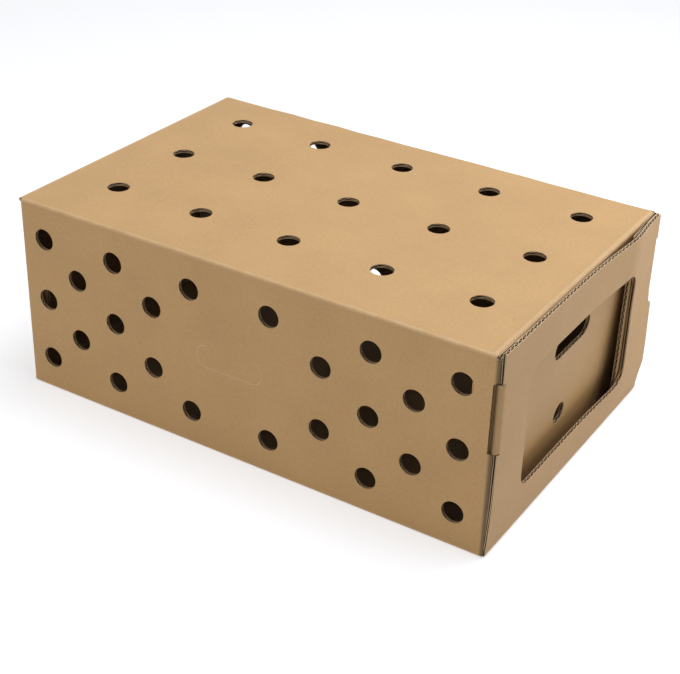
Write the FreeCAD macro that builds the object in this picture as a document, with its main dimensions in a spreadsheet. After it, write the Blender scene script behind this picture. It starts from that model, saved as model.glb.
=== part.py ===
"""Poultry transport box in corrugated board, folded up and closed.

The box is one die-cut sheet.  A tube of four walls carries two dust flaps at each end.
At the right end a leaning inner flap hangs from the top inside them, and an outer flap
with a large window is hinged on the floor panel's edge.  Its two rolled tabs slip into
slots that are cut through the vertical corner folds.  At the left end a plain flap hangs
from the top outside the dust flaps, and its two tabs slip into slots in them.

Frame: +X right end, -Y front, +Z up, origin on the floor under the middle.
Every size is a named cell of the sheet "Dimensions", in millimetres and degrees.
"""
import FreeCAD, Part
import math
import os

import Sketcher

DIMENSIONS = {
    # sheet and folds
    "BoxLength": 586.0,
    "BoxDepth": 383.0,
    "BoxHeight": 231.0,
    "BoardThickness": 4.0,
    "FoldRadius": 4.5,
    "PanelGap": 0.3,
    # dust flaps, hinged on the front and back walls
    "DustFlapWidth": 54.5,
    "DustFlapGap": 0.5,
    "CornerRelief": 1.0,
    # inner flap of the right end, hung from the top panel
    "InnerFlapLean": 3.55,
    "InnerFlapSideGap": 8.0,
    "InnerFlapFloorGap": 3.0,
    "HandHoleWidth": 85.0,
    "HandHoleHeight": 27.5,
    "HandHoleLevel": 160.0,
    "EndVentLevel": 63.5,
    # round ventilation holes
    "VentDiameter": 25.0,
    "TopVentColumns": 5,
    "TopVentRows": 3,
    "TopVentPitchLength": 113.7,
    "TopVentPitchDepth": 117.0,
    "TopVentFromLeft": 67.0,
    "TopVentFromFront": 85.0,
    "WallVentRowPitch": 37.2,
    "WallVentMiddleRow": 115.0,
    "ColumnAFromLeft": 31.0,
    "ColumnBFromLeft": 75.5,
    "ColumnCFromLeft": 126.5,
    "ColumnDFromLeft": 177.5,
    "ColumnEFromLeft": 228.0,
    "ColumnFFromLeft": 328.0,
    "ColumnGFromLeft": 391.0,
    "ColumnHFromLeft": 448.0,
    "ColumnIFromLeft": 498.5,
    "ColumnJFromLeft": 549.0,
    # push-in hand hole on the front and back walls, cut but not opened
    "PushInFromLeft": 278.0,
    "PushInLevel": 116.0,
    "CutLineWidth": 0.8,
    "CutLineDepth": 1.0,
    # glued joint of the tube, inside along the back edge of the floor
    "GlueLapWidth": 35.0,
    "GlueLapEndInset": 40.0,
    "GlueLapTaper": 12.0,
    # outer flap of the right end, a little taller than the box
    "EndFlapHeight": 233.5,
    "EndFlapSideInset": 0.5,
    "HingeLip": 0.5,
    "WindowSideMargin": 64.5,
    "WindowBottomMargin": 45.0,
    "WindowTopMargin": 46.5,
    "WindowRadius": 20.0,
    # rolled tabs of the right flap and their corner slots
    "TabBottom": 123.0,
    "TabTop": 200.0,
    "TabReach": 29.0,
    "TabBevel": 8.0,
    "TabSetback": 0.8,
    "TabLean": 45.0,
    "TabReturnRadius": 2.0,
    "TabRelief": 1.5,
    "SlotDepth": 5.8,
    "SlotSideClearance": 1.2,
    "SlotBottomClearance": 1.0,
    "SlotTopClearance": 2.6,
    # plain outer flap of the left end, hung from the top panel, with its tabs
    "HungFlapFloorGap": 1.0,
    "HungFlapSideInset": 11.5,
    "HungFlapTaper": 26.0,
    "LockTabBottom": 88.0,
    "LockTabTop": 128.0,
    "LockTabReach": 18.0,
    "LockSlotSideClearance": 0.8,
    "LockSlotTopClearance": 1.2,
    "LockSlotBottomClearance": 3.0,
}

WALL_VENT_ROWS = (
    # rows above the middle row, and the columns that each row fills
    (2, "ACEFHJ"),
    (1, "BDGI"),
    (0, "ACHJ"),
    (-1, "BDGI"),
    (-2, "ACEFHJ"),
)

# derived sizes, as expressions of the sheet
END = "Dimensions.BoxLength / 2"
FRONT = "Dimensions.BoxDepth / 2"
TOP = "Dimensions.BoxHeight"
BOARD = "Dimensions.BoardThickness"
FOLD = "Dimensions.FoldRadius"
HINGE_RADIUS = f"({BOARD} - Dimensions.HingeLip)"
TOP_END = f"({END} - {BOARD})"
CORNER_DROP = f"({FOLD} + Dimensions.CornerRelief)"
DUST_FLAP_BOTTOM = f"({BOARD} + Dimensions.DustFlapGap)"
DUST_FLAP_TOP = f"({TOP} - {CORNER_DROP})"
LEAN = "tan(Dimensions.InnerFlapLean * 1 deg)"
LEANING_BOARD = f"({BOARD} / cos(Dimensions.InnerFlapLean * 1 deg))"
INNER_FLAP_BOTTOM = f"({BOARD} + Dimensions.InnerFlapFloorGap)"
INNER_FLAP_SIDE = f"({FRONT} - {BOARD} - Dimensions.InnerFlapSideGap)"
OUTER_FLAP_INSIDE = f"({END} + Dimensions.PanelGap)"
OUTER_FLAP_OUTSIDE = f"({OUTER_FLAP_INSIDE} + {BOARD})"
OUTER_FLAP_SIDE = f"({FRONT} - Dimensions.EndFlapSideInset)"
OUTER_FLAP_TOP = "Dimensions.EndFlapHeight"
TAB_OUTSIDE = f"({FRONT} - {BOARD} - Dimensions.PanelGap)"
TAB_INSIDE = f"({TAB_OUTSIDE} - {BOARD})"
TAB_ROLL_START = f"({FRONT} - Dimensions.TabSetback - {FOLD})"
HUNG_FLAP_SIDE = f"({FRONT} - Dimensions.HungFlapSideInset)"
OVERRUN = "1"
# a full-round end keeps a hair of straight run, so that its two arcs stay apart
ROUND_END = "0.999"

document = FreeCAD.newDocument("poultry_transport_box")
sheet = document.addObject("Spreadsheet::Sheet", "Dimensions")
for row, (alias, number) in enumerate(DIMENSIONS.items(), start=1):
    sheet.set(f"A{row}", alias)
    sheet.set(f"B{row}", str(number))
    sheet.setAlias(f"B{row}", alias)
document.recompute()


def value(expression):
    """Number that an expression of the sheet has now."""
    result = sheet.evalExpression(expression)
    return float(getattr(result, "Value", result))


def add_body(label):
    """New sub-part whose label names its file."""
    body = document.addObject("PartDesign::Body", label)
    body.Label = label
    body.Placement = FreeCAD.Placement()
    return body


def origin_feature(body, role):
    """Plane or axis of the body's own origin."""
    return next(part for part in body.Origin.OriginFeatures if part.Role == role)


def add_sketch(body, name, plane, offset="0"):
    """Sketch on an origin plane, moved along the plane's normal by offset."""
    sketch = body.newObject("Sketcher::SketchObject", name)
    sketch.AttachmentSupport = (origin_feature(body, plane), [""])
    sketch.MapMode = "FlatFace"
    sketch.setExpression(".AttachmentOffset.Base.z", offset)
    return sketch


def constrain(sketch, *arguments, expression=None):
    """Add one constraint and tie its value to an expression."""
    if expression is None:
        sketch.addConstraint(Sketcher.Constraint(*arguments))
        return
    index = sketch.addConstraint(Sketcher.Constraint(*arguments, value(expression)))
    sketch.setExpression(f"Constraints[{index}]", expression)


def place_point(sketch, geometry, point, place):
    """Hold a point of the sketch at a pair of expressions."""
    constrain(sketch, "DistanceX", -1, 1, geometry, point, expression=place[0])
    constrain(sketch, "DistanceY", -1, 1, geometry, point, expression=place[1])


def draw_outline(sketch, corners):
    """Draw a closed outline of straight runs with sharp or rounded corners.

    Each corner is (x, y) or (x, y, radius), all expressions.  A rounded corner keeps
    a construction point where its two runs would meet.
    """
    points = [FreeCAD.Vector(value(c[0]), value(c[1]), 0) for c in corners]
    count = len(corners)
    trims = []
    for i, corner in enumerate(corners):
        before = (points[i - 1] - points[i]).normalize()
        after = (points[(i + 1) % count] - points[i]).normalize()
        opening = before.getAngle(after)
        radius = value(corner[2]) if len(corner) > 2 else 0.0
        reach = radius / math.tan(opening / 2)
        trims.append((points[i] + before * reach, points[i] + after * reach))
    lines = []
    for i in range(count):
        start = trims[i][1]
        end = trims[(i + 1) % count][0]
        lines.append(sketch.addGeometry(Part.LineSegment(start, end), False))
    for i, corner in enumerate(corners):
        incoming, outgoing = lines[i - 1], lines[i]
        if len(corner) == 2:
            constrain(sketch, "Coincident", incoming, 2, outgoing, 1)
            place_point(sketch, outgoing, 1, corner)
            continue
        first, last = trims[i]
        radius = value(corner[2])
        bisector = ((first + last) * 0.5 - points[i]).normalize()
        reach = (first - points[i]).Length
        centre = points[i] + bisector * math.hypot(reach, radius)
        middle = centre - bisector * radius
        arc = sketch.addGeometry(Part.Arc(first, middle, last), False)
        starts_first = (sketch.getPoint(arc, 1) - first).Length < (sketch.getPoint(arc, 2) - first).Length
        ends = (1, 2) if starts_first else (2, 1)
        mark = sketch.addGeometry(Part.Point(points[i]), True)
        constrain(sketch, "Tangent", incoming, 2, arc, ends[0])
        constrain(sketch, "Tangent", arc, ends[1], outgoing, 1)
        constrain(sketch, "PointOnObject", mark, 1, incoming)
        constrain(sketch, "PointOnObject", mark, 1, outgoing)
        place_point(sketch, mark, 1, corner)
        constrain(sketch, "Radius", arc, expression=corner[2])


def draw_circles(sketch, centres, diameter):
    """Draw equal circles at pairs of expressions."""
    first = None
    for centre in centres:
        place = FreeCAD.Vector(value(centre[0]), value(centre[1]), 0)
        circle = Part.Circle(place, FreeCAD.Vector(0, 0, 1), value(diameter) / 2)
        index = sketch.addGeometry(circle, False)
        place_point(sketch, index, 3, centre)
        if first is None:
            first = index
            constrain(sketch, "Diameter", index, expression=diameter)
        else:
            constrain(sketch, "Equal", first, index)


def rectangle(left, bottom, right, top, radius=None):
    """Corners of an upright rectangle, all rounded where a radius is given."""
    corners = [(left, bottom), (right, bottom), (right, top), (left, top)]
    return corners if radius is None else [corner + (radius,) for corner in corners]


def stadium(middle, level, width, height):
    """Corners of a slot with full-round ends."""
    half = f"(({width}) / 2)"
    rise = f"(({height}) / 2)"
    low, high = f"{level} - {rise}", f"{level} + {rise}"
    return rectangle(f"{middle} - {half}", low, f"{middle} + {half}", high, f"{rise} * {ROUND_END}")


def pad(body, sketch, name, length):
    """Raise a sketch along its normal."""
    feature = body.newObject("PartDesign::Pad", name)
    feature.Profile = sketch
    feature.setExpression("Length", length)
    return feature


def pocket(body, sketch, name, length=None):
    """Cut a sketch against its normal, right through where no length is given."""
    feature = body.newObject("PartDesign::Pocket", name)
    feature.Profile = sketch
    if length is None:
        feature.Type = "ThroughAll"
    else:
        feature.setExpression("Length", length)
    return feature


def mirror_front_to_back(body, features, name):
    """Repeat features of the front on the back."""
    mirrored = body.newObject("PartDesign::Mirrored", name)
    mirrored.Originals = features
    mirrored.MirrorPlane = (origin_feature(body, "XZ_Plane"), [""])
    body.Tip = mirrored
    return mirrored


def from_left(distance):
    """Place along X of a point measured from the left end."""
    return f"Dimensions.{distance} - {END}"


def add_wall_tube(body):
    """Four walls as one ring, up to where the corner folds begin."""
    run = f"({END} - {FOLD})"
    sketch = add_sketch(body, "tube_section", "YZ_Plane", f"-{run}")
    draw_outline(sketch, rectangle(f"-({FRONT})", "0", FRONT, TOP, FOLD))
    inside = f"({FRONT} - {BOARD})"
    draw_outline(sketch, rectangle(f"-{inside}", BOARD, inside, f"{TOP} - {BOARD}"))
    pad(body, sketch, "wall_tube", f"2 * {run}")


def add_long_panels(body):
    """Floor and top panel, run out between the corner folds to meet the outer flaps."""
    side = f"({FRONT} - {FOLD})"
    floor = add_sketch(body, "floor_outline", "XY_Plane")
    draw_outline(floor, rectangle(f"-({END})", f"-{side}", END, side))
    pad(body, floor, "floor_panel", BOARD)
    top = add_sketch(body, "top_outline", "XY_Plane", f"{TOP} - {BOARD}")
    draw_outline(top, rectangle(f"-({END})", f"-{side}", "0", side))
    pad(body, top, "top_panel", BOARD)


def add_wall_ends(body):
    """Front wall's ends, folded round both corners into its dust flaps."""
    sketch = add_sketch(body, "dust_flap_section", "XY_Plane", DUST_FLAP_BOTTOM)
    wall_inside = f"-({FRONT} - {BOARD})"
    free_edge = f"-({FRONT} - Dimensions.DustFlapWidth)"
    right = [
        (TOP_END, free_edge),
        (TOP_END, wall_inside),
    ]
    left = [
        (f"-{TOP_END}", wall_inside),
        (f"-{TOP_END}", free_edge),
    ]
    outer = [
        (f"-({END})", free_edge),
        (f"-({END})", f"-({FRONT})", FOLD),
        (END, f"-({FRONT})", FOLD),
        (END, free_edge),
    ]
    draw_outline(sketch, outer + right + left)
    return pad(body, sketch, "front_dust_flaps", f"{DUST_FLAP_TOP} - {DUST_FLAP_BOTTOM}")


def trim_top_end(body):
    """Round the top panel's right end fold and lower the walls' ends beside it."""
    sketch = add_sketch(body, "top_end_trim", "XZ_Plane", f"{FRONT} + {OVERRUN}")
    beyond = f"{END} + {OVERRUN}"
    above = f"{TOP} + {OVERRUN}"
    inboard = f"{TOP_END} - {CORNER_DROP}"
    corners = [
        (inboard, above),
        (inboard, TOP),
        (TOP_END, TOP, FOLD),
        (f"{TOP_END} - {CORNER_DROP} * {LEAN}", DUST_FLAP_TOP),
        (beyond, DUST_FLAP_TOP),
        (beyond, above),
    ]
    draw_outline(sketch, corners)
    pocket(body, sketch, "top_end_fold")


def add_inner_flap(body):
    """Leaning inner flap that hangs from the top panel's right end."""
    sketch = add_sketch(body, "inner_flap_section", "XZ_Plane", f"-{INNER_FLAP_SIDE}")
    foot = f"({TOP_END} - ({TOP} - {INNER_FLAP_BOTTOM}) * {LEAN})"
    armpit = f"({TOP_END} - {BOARD} * {LEAN} - {LEANING_BOARD})"
    under = f"{TOP} - {BOARD}"
    corners = [
        ("0", TOP),
        (TOP_END, TOP, FOLD),
        (foot, INNER_FLAP_BOTTOM),
        (f"{foot} - {LEANING_BOARD}", INNER_FLAP_BOTTOM),
        (armpit, under),
        ("0", under),
    ]
    draw_outline(sketch, corners)
    pad(body, sketch, "top_and_inner_flap", f"2 * {INNER_FLAP_SIDE}")


def add_glue_lap(body):
    """Lap of the tube's glued joint, on the floor along the back wall."""
    sketch = add_sketch(body, "glue_lap_outline", "XY_Plane", BOARD)
    wall = f"({FRONT} - {BOARD})"
    edge = f"({wall} - Dimensions.GlueLapWidth)"
    reach = f"({END} - Dimensions.GlueLapEndInset)"
    short = f"({reach} - Dimensions.GlueLapTaper)"
    draw_outline(sketch, [(f"-{short}", edge), (short, edge), (reach, wall), (f"-{reach}", wall)])
    pad(body, sketch, "glue_lap", BOARD)


def cut_top_vents(body):
    """Grid of round holes in the top panel."""
    sketch = add_sketch(body, "top_vent_column", "XY_Plane", TOP)
    centres = []
    for row in range(int(value("Dimensions.TopVentRows"))):
        depth = f"Dimensions.TopVentFromFront + {row} * Dimensions.TopVentPitchDepth - {FRONT}"
        centres.append((from_left("TopVentFromLeft"), depth))
    draw_circles(sketch, centres, "Dimensions.VentDiameter")
    column = pocket(body, sketch, "top_vents_first_column", f"2 * {BOARD}")
    grid = body.newObject("PartDesign::LinearPattern", "top_vents")
    grid.Originals = [column]
    grid.Direction = (origin_feature(body, "X_Axis"), [""])
    grid.setExpression("Length", "Dimensions.TopVentPitchLength * (Dimensions.TopVentColumns - 1)")
    grid.setExpression("Occurrences", "Dimensions.TopVentColumns")
    body.Tip = grid


def cut_wall_vents(body):
    """Staggered round holes of the front wall."""
    sketch = add_sketch(body, "wall_vent_centres", "XZ_Plane", f"{FRONT} + {OVERRUN}")
    centres = []
    for steps, columns in WALL_VENT_ROWS:
        level = f"Dimensions.WallVentMiddleRow + {steps} * Dimensions.WallVentRowPitch"
        centres += [(from_left(f"Column{letter}FromLeft"), level) for letter in columns]
    draw_circles(sketch, centres, "Dimensions.VentDiameter")
    return pocket(body, sketch, "front_wall_vents", f"{BOARD} + {OVERRUN}")


def draw_end_holes(sketch):
    """Hand hole and round hole of a flap that hangs from the top."""
    size = "Dimensions.HandHoleWidth", "Dimensions.HandHoleHeight"
    draw_outline(sketch, stadium("0", "Dimensions.HandHoleLevel", *size))
    draw_circles(sketch, [("0", "Dimensions.EndVentLevel")], "Dimensions.VentDiameter")


def cut_end_holes(body):
    """Holes of the right end's inner flap."""
    sketch = add_sketch(body, "end_hole_outlines", "YZ_Plane", f"{END} + {OVERRUN}")
    draw_end_holes(sketch)
    pocket(body, sketch, "end_flap_holes", END)


def cut_lock_slots(body):
    """Slots in the left dust flaps for the hung flap's tabs."""
    sketch = add_sketch(body, "lock_slot_outlines", "YZ_Plane", f"{OVERRUN} - {TOP_END}")
    near = f"({HUNG_FLAP_SIDE} - {BOARD} - Dimensions.LockSlotSideClearance)"
    far = f"({HUNG_FLAP_SIDE} + Dimensions.LockSlotSideClearance)"
    low = "Dimensions.LockTabBottom - Dimensions.LockSlotBottomClearance"
    high = "Dimensions.LockTabTop + Dimensions.LockSlotTopClearance"
    draw_outline(sketch, rectangle(f"-{far}", low, f"-{near}", high))
    draw_outline(sketch, rectangle(near, low, far, high))
    pocket(body, sketch, "lock_slots", f"{BOARD} + 2 * {OVERRUN}")


def cut_tab_slot(body):
    """Slot through the front corner fold of the right end, for a rolled tab."""
    sketch = add_sketch(body, "tab_slot_outline", "XZ_Plane", f"{FRONT} + {OVERRUN}")
    low = "Dimensions.TabBottom - Dimensions.SlotBottomClearance"
    high = "Dimensions.TabTop + Dimensions.SlotTopClearance"
    slot = rectangle(f"{END} - Dimensions.SlotDepth", low, f"{END} + {OVERRUN}", high)
    draw_outline(sketch, slot)
    depth = f"{FRONT} - {TAB_INSIDE} + Dimensions.SlotSideClearance + {OVERRUN}"
    return pocket(body, sketch, "front_tab_slot", depth)


def cut_push_in_line(body):
    """Cut line of the unopened hand hole; its top run stays a fold."""
    sketch = add_sketch(body, "push_in_outline", "XZ_Plane", FRONT)
    middle = from_left("PushInFromLeft")
    level = "Dimensions.PushInLevel"
    line = "Dimensions.CutLineWidth"
    half = "Dimensions.HandHoleWidth / 2"
    rise = "(Dimensions.HandHoleHeight / 2)"
    top_run = f"({half} - {rise})"
    outer = f"({rise} * {ROUND_END})"
    inner = f"({outer} - {line})"
    corners = [
        (f"{middle} - {top_run}", f"{level} + {rise}"),
        (f"{middle} - {half}", f"{level} + {rise}", outer),
        (f"{middle} - {half}", f"{level} - {rise}", outer),
        (f"{middle} + {half}", f"{level} - {rise}", outer),
        (f"{middle} + {half}", f"{level} + {rise}", outer),
        (f"{middle} + {top_run}", f"{level} + {rise}"),
        (f"{middle} + {top_run}", f"{level} + {rise} - {line}"),
        (f"{middle} + {half} - {line}", f"{level} + {rise} - {line}", inner),
        (f"{middle} + {half} - {line}", f"{level} - {rise} + {line}", inner),
        (f"{middle} - {half} + {line}", f"{level} - {rise} + {line}", inner),
        (f"{middle} - {half} + {line}", f"{level} + {rise} - {line}", inner),
        (f"{middle} - {top_run}", f"{level} + {rise} - {line}"),
    ]
    draw_outline(sketch, corners)
    return pocket(body, sketch, "front_push_in_line", "Dimensions.CutLineDepth")


def build_sleeve():
    """Tube of four walls with its dust flaps and its leaning inner flap."""
    body = add_body("sleeve")
    add_wall_tube(body)
    add_long_panels(body)
    dust_flaps = add_wall_ends(body)
    mirror_front_to_back(body, [dust_flaps], "back_dust_flaps")
    trim_top_end(body)
    add_inner_flap(body)
    add_glue_lap(body)
    slot = cut_tab_slot(body)
    mirror_front_to_back(body, [slot], "back_tab_slot")
    cut_lock_slots(body)
    cut_end_holes(body)
    cut_top_vents(body)
    vents = cut_wall_vents(body)
    mirror_front_to_back(body, [vents], "back_wall_vents")
    line = cut_push_in_line(body)
    mirror_front_to_back(body, [line], "back_push_in_line")
    return body


def rolled_tab():
    """Corners of the right flap's front tab in plan: rolled off the flap, then straight."""
    lean = "Dimensions.TabLean * 1 deg"
    turn = f"tan((90 deg + {lean}) / 2)"
    outside = OUTER_FLAP_OUTSIDE
    knee = f"({TAB_ROLL_START} + {FOLD} * {turn})"
    outer_bend = f"({outside} - ({knee} - {TAB_OUTSIDE}) / tan({lean}))"
    inner_knee = f"({knee} - {BOARD} * tan({lean}) - {BOARD} / cos({lean}))"
    inner_bend = f"({outside} - ({knee} - {TAB_INSIDE} - {BOARD} / cos({lean})) / tan({lean}))"
    tip = f"({END} - Dimensions.TabReach)"
    root = f"({TAB_ROLL_START} - {BOARD})"
    return [
        (outside, f"-{root}"),
        (outside, f"-{knee}", FOLD),
        (outer_bend, f"-{TAB_OUTSIDE}", "Dimensions.TabReturnRadius"),
        (tip, f"-{TAB_OUTSIDE}"),
        (tip, f"-{TAB_INSIDE}"),
        (inner_bend, f"-{TAB_INSIDE}", f"Dimensions.TabReturnRadius + {BOARD}"),
        (OUTER_FLAP_INSIDE, f"-{inner_knee}"),
        (OUTER_FLAP_INSIDE, f"-{root}"),
    ]


def lock_tab():
    """Corners of the hung flap's front tab in plan: folded straight in."""
    inside = f"({HUNG_FLAP_SIDE} - {BOARD})"
    root = f"({HUNG_FLAP_SIDE} - {FOLD} - {BOARD})"
    tip = f"-({END} - Dimensions.LockTabReach)"
    return [
        (f"-{OUTER_FLAP_OUTSIDE}", f"-{root}"),
        (f"-{OUTER_FLAP_OUTSIDE}", f"-{HUNG_FLAP_SIDE}", FOLD),
        (tip, f"-{HUNG_FLAP_SIDE}"),
        (tip, f"-{inside}"),
        (f"-{OUTER_FLAP_INSIDE}", f"-{inside}"),
        (f"-{OUTER_FLAP_INSIDE}", f"-{root}"),
    ]


def clear_tab_roots(sketch, root, low, high):
    """Draw the reliefs that free a flap's tabs from its side edges."""
    low, high = f"{low} - Dimensions.TabRelief", f"{high} + Dimensions.TabRelief"
    beyond = f"{FRONT} + {OVERRUN}"
    draw_outline(sketch, rectangle(f"-({beyond})", low, f"-{root}", high))
    draw_outline(sketch, rectangle(root, low, beyond, high))


def add_tabs(body, side, plan, reach, low, high):
    """Front and back tab between two heights, their tips bevelled; side is 1 or -1."""
    sketch = add_sketch(body, "tab_plan", "XY_Plane", low)
    draw_outline(sketch, plan)
    front_tab = pad(body, sketch, "front_tab", f"{high} - {low}")
    mirror_front_to_back(body, [front_tab], "back_tab")
    bevels = add_sketch(body, "tab_bevels", "XZ_Plane", f"{FRONT} + {OVERRUN}")
    tip = f"({END} - {reach})"
    bevel = f"(Dimensions.TabBevel + {OVERRUN})"
    for edge, way in ((high, 1), (low, -1)):
        corner_x = f"{side} * ({tip} - {OVERRUN})"
        corner_z = f"{edge} + {way} * {OVERRUN}"
        triangle = [
            (corner_x, corner_z),
            (f"{side} * ({tip} + {bevel})", corner_z),
            (corner_x, f"{edge} - {way} * {bevel}"),
        ]
        draw_outline(bevels, triangle)
    pocket(body, bevels, "tab_corner_bevels")


def build_right_flap():
    """Outer flap hinged on the floor, with its window and two rolled tabs."""
    body = add_body("right_end_flap")
    section = add_sketch(body, "panel_section", "XZ_Plane", f"-{OUTER_FLAP_SIDE}")
    panel = [
        (OUTER_FLAP_INSIDE, "0"),
        (OUTER_FLAP_OUTSIDE, "0", HINGE_RADIUS),
        (OUTER_FLAP_OUTSIDE, OUTER_FLAP_TOP),
        (OUTER_FLAP_INSIDE, OUTER_FLAP_TOP),
    ]
    draw_outline(section, panel)
    pad(body, section, "panel", f"2 * {OUTER_FLAP_SIDE}")

    cuts = add_sketch(body, "window_outline", "YZ_Plane", f"{OUTER_FLAP_OUTSIDE} + {OVERRUN}")
    window_side = f"({FRONT} - Dimensions.WindowSideMargin)"
    window_low = "Dimensions.WindowBottomMargin"
    window_high = f"{OUTER_FLAP_TOP} - Dimensions.WindowTopMargin"
    window = rectangle(f"-{window_side}", window_low, window_side, window_high, "Dimensions.WindowRadius")
    draw_outline(cuts, window)
    zone = "Dimensions.TabBottom", "Dimensions.TabTop"
    clear_tab_roots(cuts, TAB_ROLL_START, *zone)
    pocket(body, cuts, "window_and_tab_reliefs")
    add_tabs(body, 1, rolled_tab(), "Dimensions.TabReach", *zone)
    return body


def build_left_flap():
    """Plain outer flap hung from the top, with its holes and two lock tabs."""
    body = add_body("left_end_flap")
    neck = f"({FRONT} - {FOLD})"
    bottom = "Dimensions.HungFlapFloorGap"
    section = add_sketch(body, "panel_section", "XZ_Plane", f"-{neck}")
    panel = [
        (f"-{OUTER_FLAP_INSIDE}", TOP),
        (f"-{OUTER_FLAP_OUTSIDE}", TOP, HINGE_RADIUS),
        (f"-{OUTER_FLAP_OUTSIDE}", bottom),
        (f"-{OUTER_FLAP_INSIDE}", bottom),
    ]
    draw_outline(section, panel)
    pad(body, section, "panel", f"2 * {neck}")

    cuts = add_sketch(body, "hole_and_side_outlines", "YZ_Plane", OVERRUN)
    draw_end_holes(cuts)
    beyond = f"({FRONT} + {OVERRUN})"
    taper = f"{TOP} - Dimensions.HungFlapTaper"
    under = f"{bottom} - {OVERRUN}"
    for way in (1, -1):
        side = [(HUNG_FLAP_SIDE, under), (beyond, under), (beyond, TOP), (neck, TOP), (HUNG_FLAP_SIDE, taper)]
        draw_outline(cuts, [(f"{way} * {across}", level) for across, level in side])
    pocket(body, cuts, "holes_and_tapered_sides")

    zone = "Dimensions.LockTabBottom", "Dimensions.LockTabTop"
    reliefs = add_sketch(body, "tab_reliefs", "YZ_Plane", OVERRUN)
    clear_tab_roots(reliefs, f"({HUNG_FLAP_SIDE} - {FOLD})", *zone)
    pocket(body, reliefs, "tab_reliefs_cut")
    add_tabs(body, -1, lock_tab(), "Dimensions.LockTabReach", *zone)
    return body


def check(body):
    """Stop if a feature failed or the finished shape is no single valid solid."""
    for item in document.Objects:
        if "Invalid" in item.State or "Error" in item.State:
            raise RuntimeError(f"{item.Label} failed: {item.State}")
    shape = body.Shape
    if shape.isNull() or not shape.isValid() or len(shape.Solids) != 1:
        raise RuntimeError(f"{body.Label} is not one valid solid")


bodies = [build_sleeve(), build_right_flap(), build_left_flap()]
document.recompute()
for finished in bodies:
    check(finished)

os.makedirs("parts", exist_ok=True)
for finished in bodies:
    finished.Shape.exportStep(f"parts/{finished.Label}.step")
    box = finished.Shape.BoundBox
    print(f"{finished.Label}: {box.XLength:.1f} x {box.YLength:.1f} x {box.ZLength:.1f} mm,", end=" ")
    print(f"volume {finished.Shape.Volume:.0f} mm3")
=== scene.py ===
"""Poultry transport box in brown corrugated board, folded up and closed.

The board is built as the real one is: two liners with a fluted web between them, cut
flat as one blank, then folded.  Flutes run along the length of the blank, so their
ends show on every cut that crosses them.

Frame: +X right end, -Y front, +Z up, origin on the floor under the middle.
Meshes are worked out in millimetres and end up in metres.
"""
import logging
import math
from dataclasses import dataclass
from enum import Enum
from typing import Callable, NamedTuple, Sequence

import bmesh
import bpy
import numpy as np
from mathutils import Matrix, Quaternion, Vector


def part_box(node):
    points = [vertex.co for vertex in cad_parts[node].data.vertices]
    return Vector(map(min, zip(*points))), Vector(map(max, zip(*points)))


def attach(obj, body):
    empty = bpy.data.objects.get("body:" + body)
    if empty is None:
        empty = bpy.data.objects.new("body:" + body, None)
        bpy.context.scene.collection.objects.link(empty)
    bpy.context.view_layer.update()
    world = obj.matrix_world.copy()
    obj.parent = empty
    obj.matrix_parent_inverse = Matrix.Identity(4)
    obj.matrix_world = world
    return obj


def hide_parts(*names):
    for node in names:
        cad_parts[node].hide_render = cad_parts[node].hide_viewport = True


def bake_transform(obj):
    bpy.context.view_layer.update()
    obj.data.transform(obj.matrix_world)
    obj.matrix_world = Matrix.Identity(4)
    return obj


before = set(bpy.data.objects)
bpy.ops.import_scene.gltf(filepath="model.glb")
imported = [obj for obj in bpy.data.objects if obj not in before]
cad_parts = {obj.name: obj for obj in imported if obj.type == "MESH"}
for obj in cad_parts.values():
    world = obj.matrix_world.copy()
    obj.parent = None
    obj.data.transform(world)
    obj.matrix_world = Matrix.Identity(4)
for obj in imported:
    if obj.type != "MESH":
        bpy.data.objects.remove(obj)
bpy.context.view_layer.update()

MM = 0.001
LOG = logging.getLogger("transport_box")
# a full-round end keeps a hair of straight run
ROUND_END = 0.999
# a dividing line that comes this near to a corner runs through it
SNAP = 1e-4
# height of the strip of board that joins a panel to its end flap
CREASE_RUN = 10.0
RIGHT_ANGLE = math.pi / 2
SHARP_ANGLE = math.radians(32)

Corner = tuple[float, float]
Colour = tuple[float, float, float, float]
Folding = Callable[[np.ndarray], np.ndarray]


class Surface(Enum):
    """Finishes of one board, in the order of its material slots."""

    OUTER_LINER = 0
    INNER_LINER = 1
    CUT_EDGE = 2
    WEB = 3


@dataclass(frozen=True)
class Board:
    """Single-wall corrugated board, in millimetres."""

    thickness: float = 4.0
    liner: float = 0.6
    web: float = 0.7
    glue_gap: float = 0.02
    flute_pitch: float = 8.1
    facets_per_flute: int = 6
    fold_radius: float = 4.5
    corner_radius: float = 2.2
    pressed_radius: float = 0.2
    pressed_run: float = 3.0
    fold_facets: int = 8

    @property
    def wave_height(self) -> float:
        """Half of the height that the web's middle swings through."""
        return (self.thickness - 2 * self.liner - self.web) / 2 - self.glue_gap

    def left_in_fold(self, radius: float) -> float:
        """Share of the thickness that is left in a fold pressed to an outer radius."""
        return min(1.0, (radius - self.pressed_radius) / self.thickness)


@dataclass(frozen=True)
class Openings:
    """Holes that several panels share; levels are heights above the floor, in millimetres."""

    vent: float = 25.0
    hand_hole: Corner = (85.0, 27.5)
    hand_hole_level: float = 160.0
    end_vent_level: float = 63.5


BOARD = Board()
OPENINGS = Openings()


def smooth_step(low: float, high: float, value: np.ndarray) -> np.ndarray:
    """Ease from 0 at low to 1 at high."""
    share = np.clip((value - low) / (high - low), 0.0, 1.0)
    return share * share * (3 - 2 * share)


def nearness(away: np.ndarray, reach: float) -> np.ndarray:
    """Nearness to a fold, 1 inside it and 0 from the reach on."""
    return 1.0 - smooth_step(0.0, reach, away)


@dataclass(frozen=True)
class Straight:
    """Flat run of a folded section."""

    length: float


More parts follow.
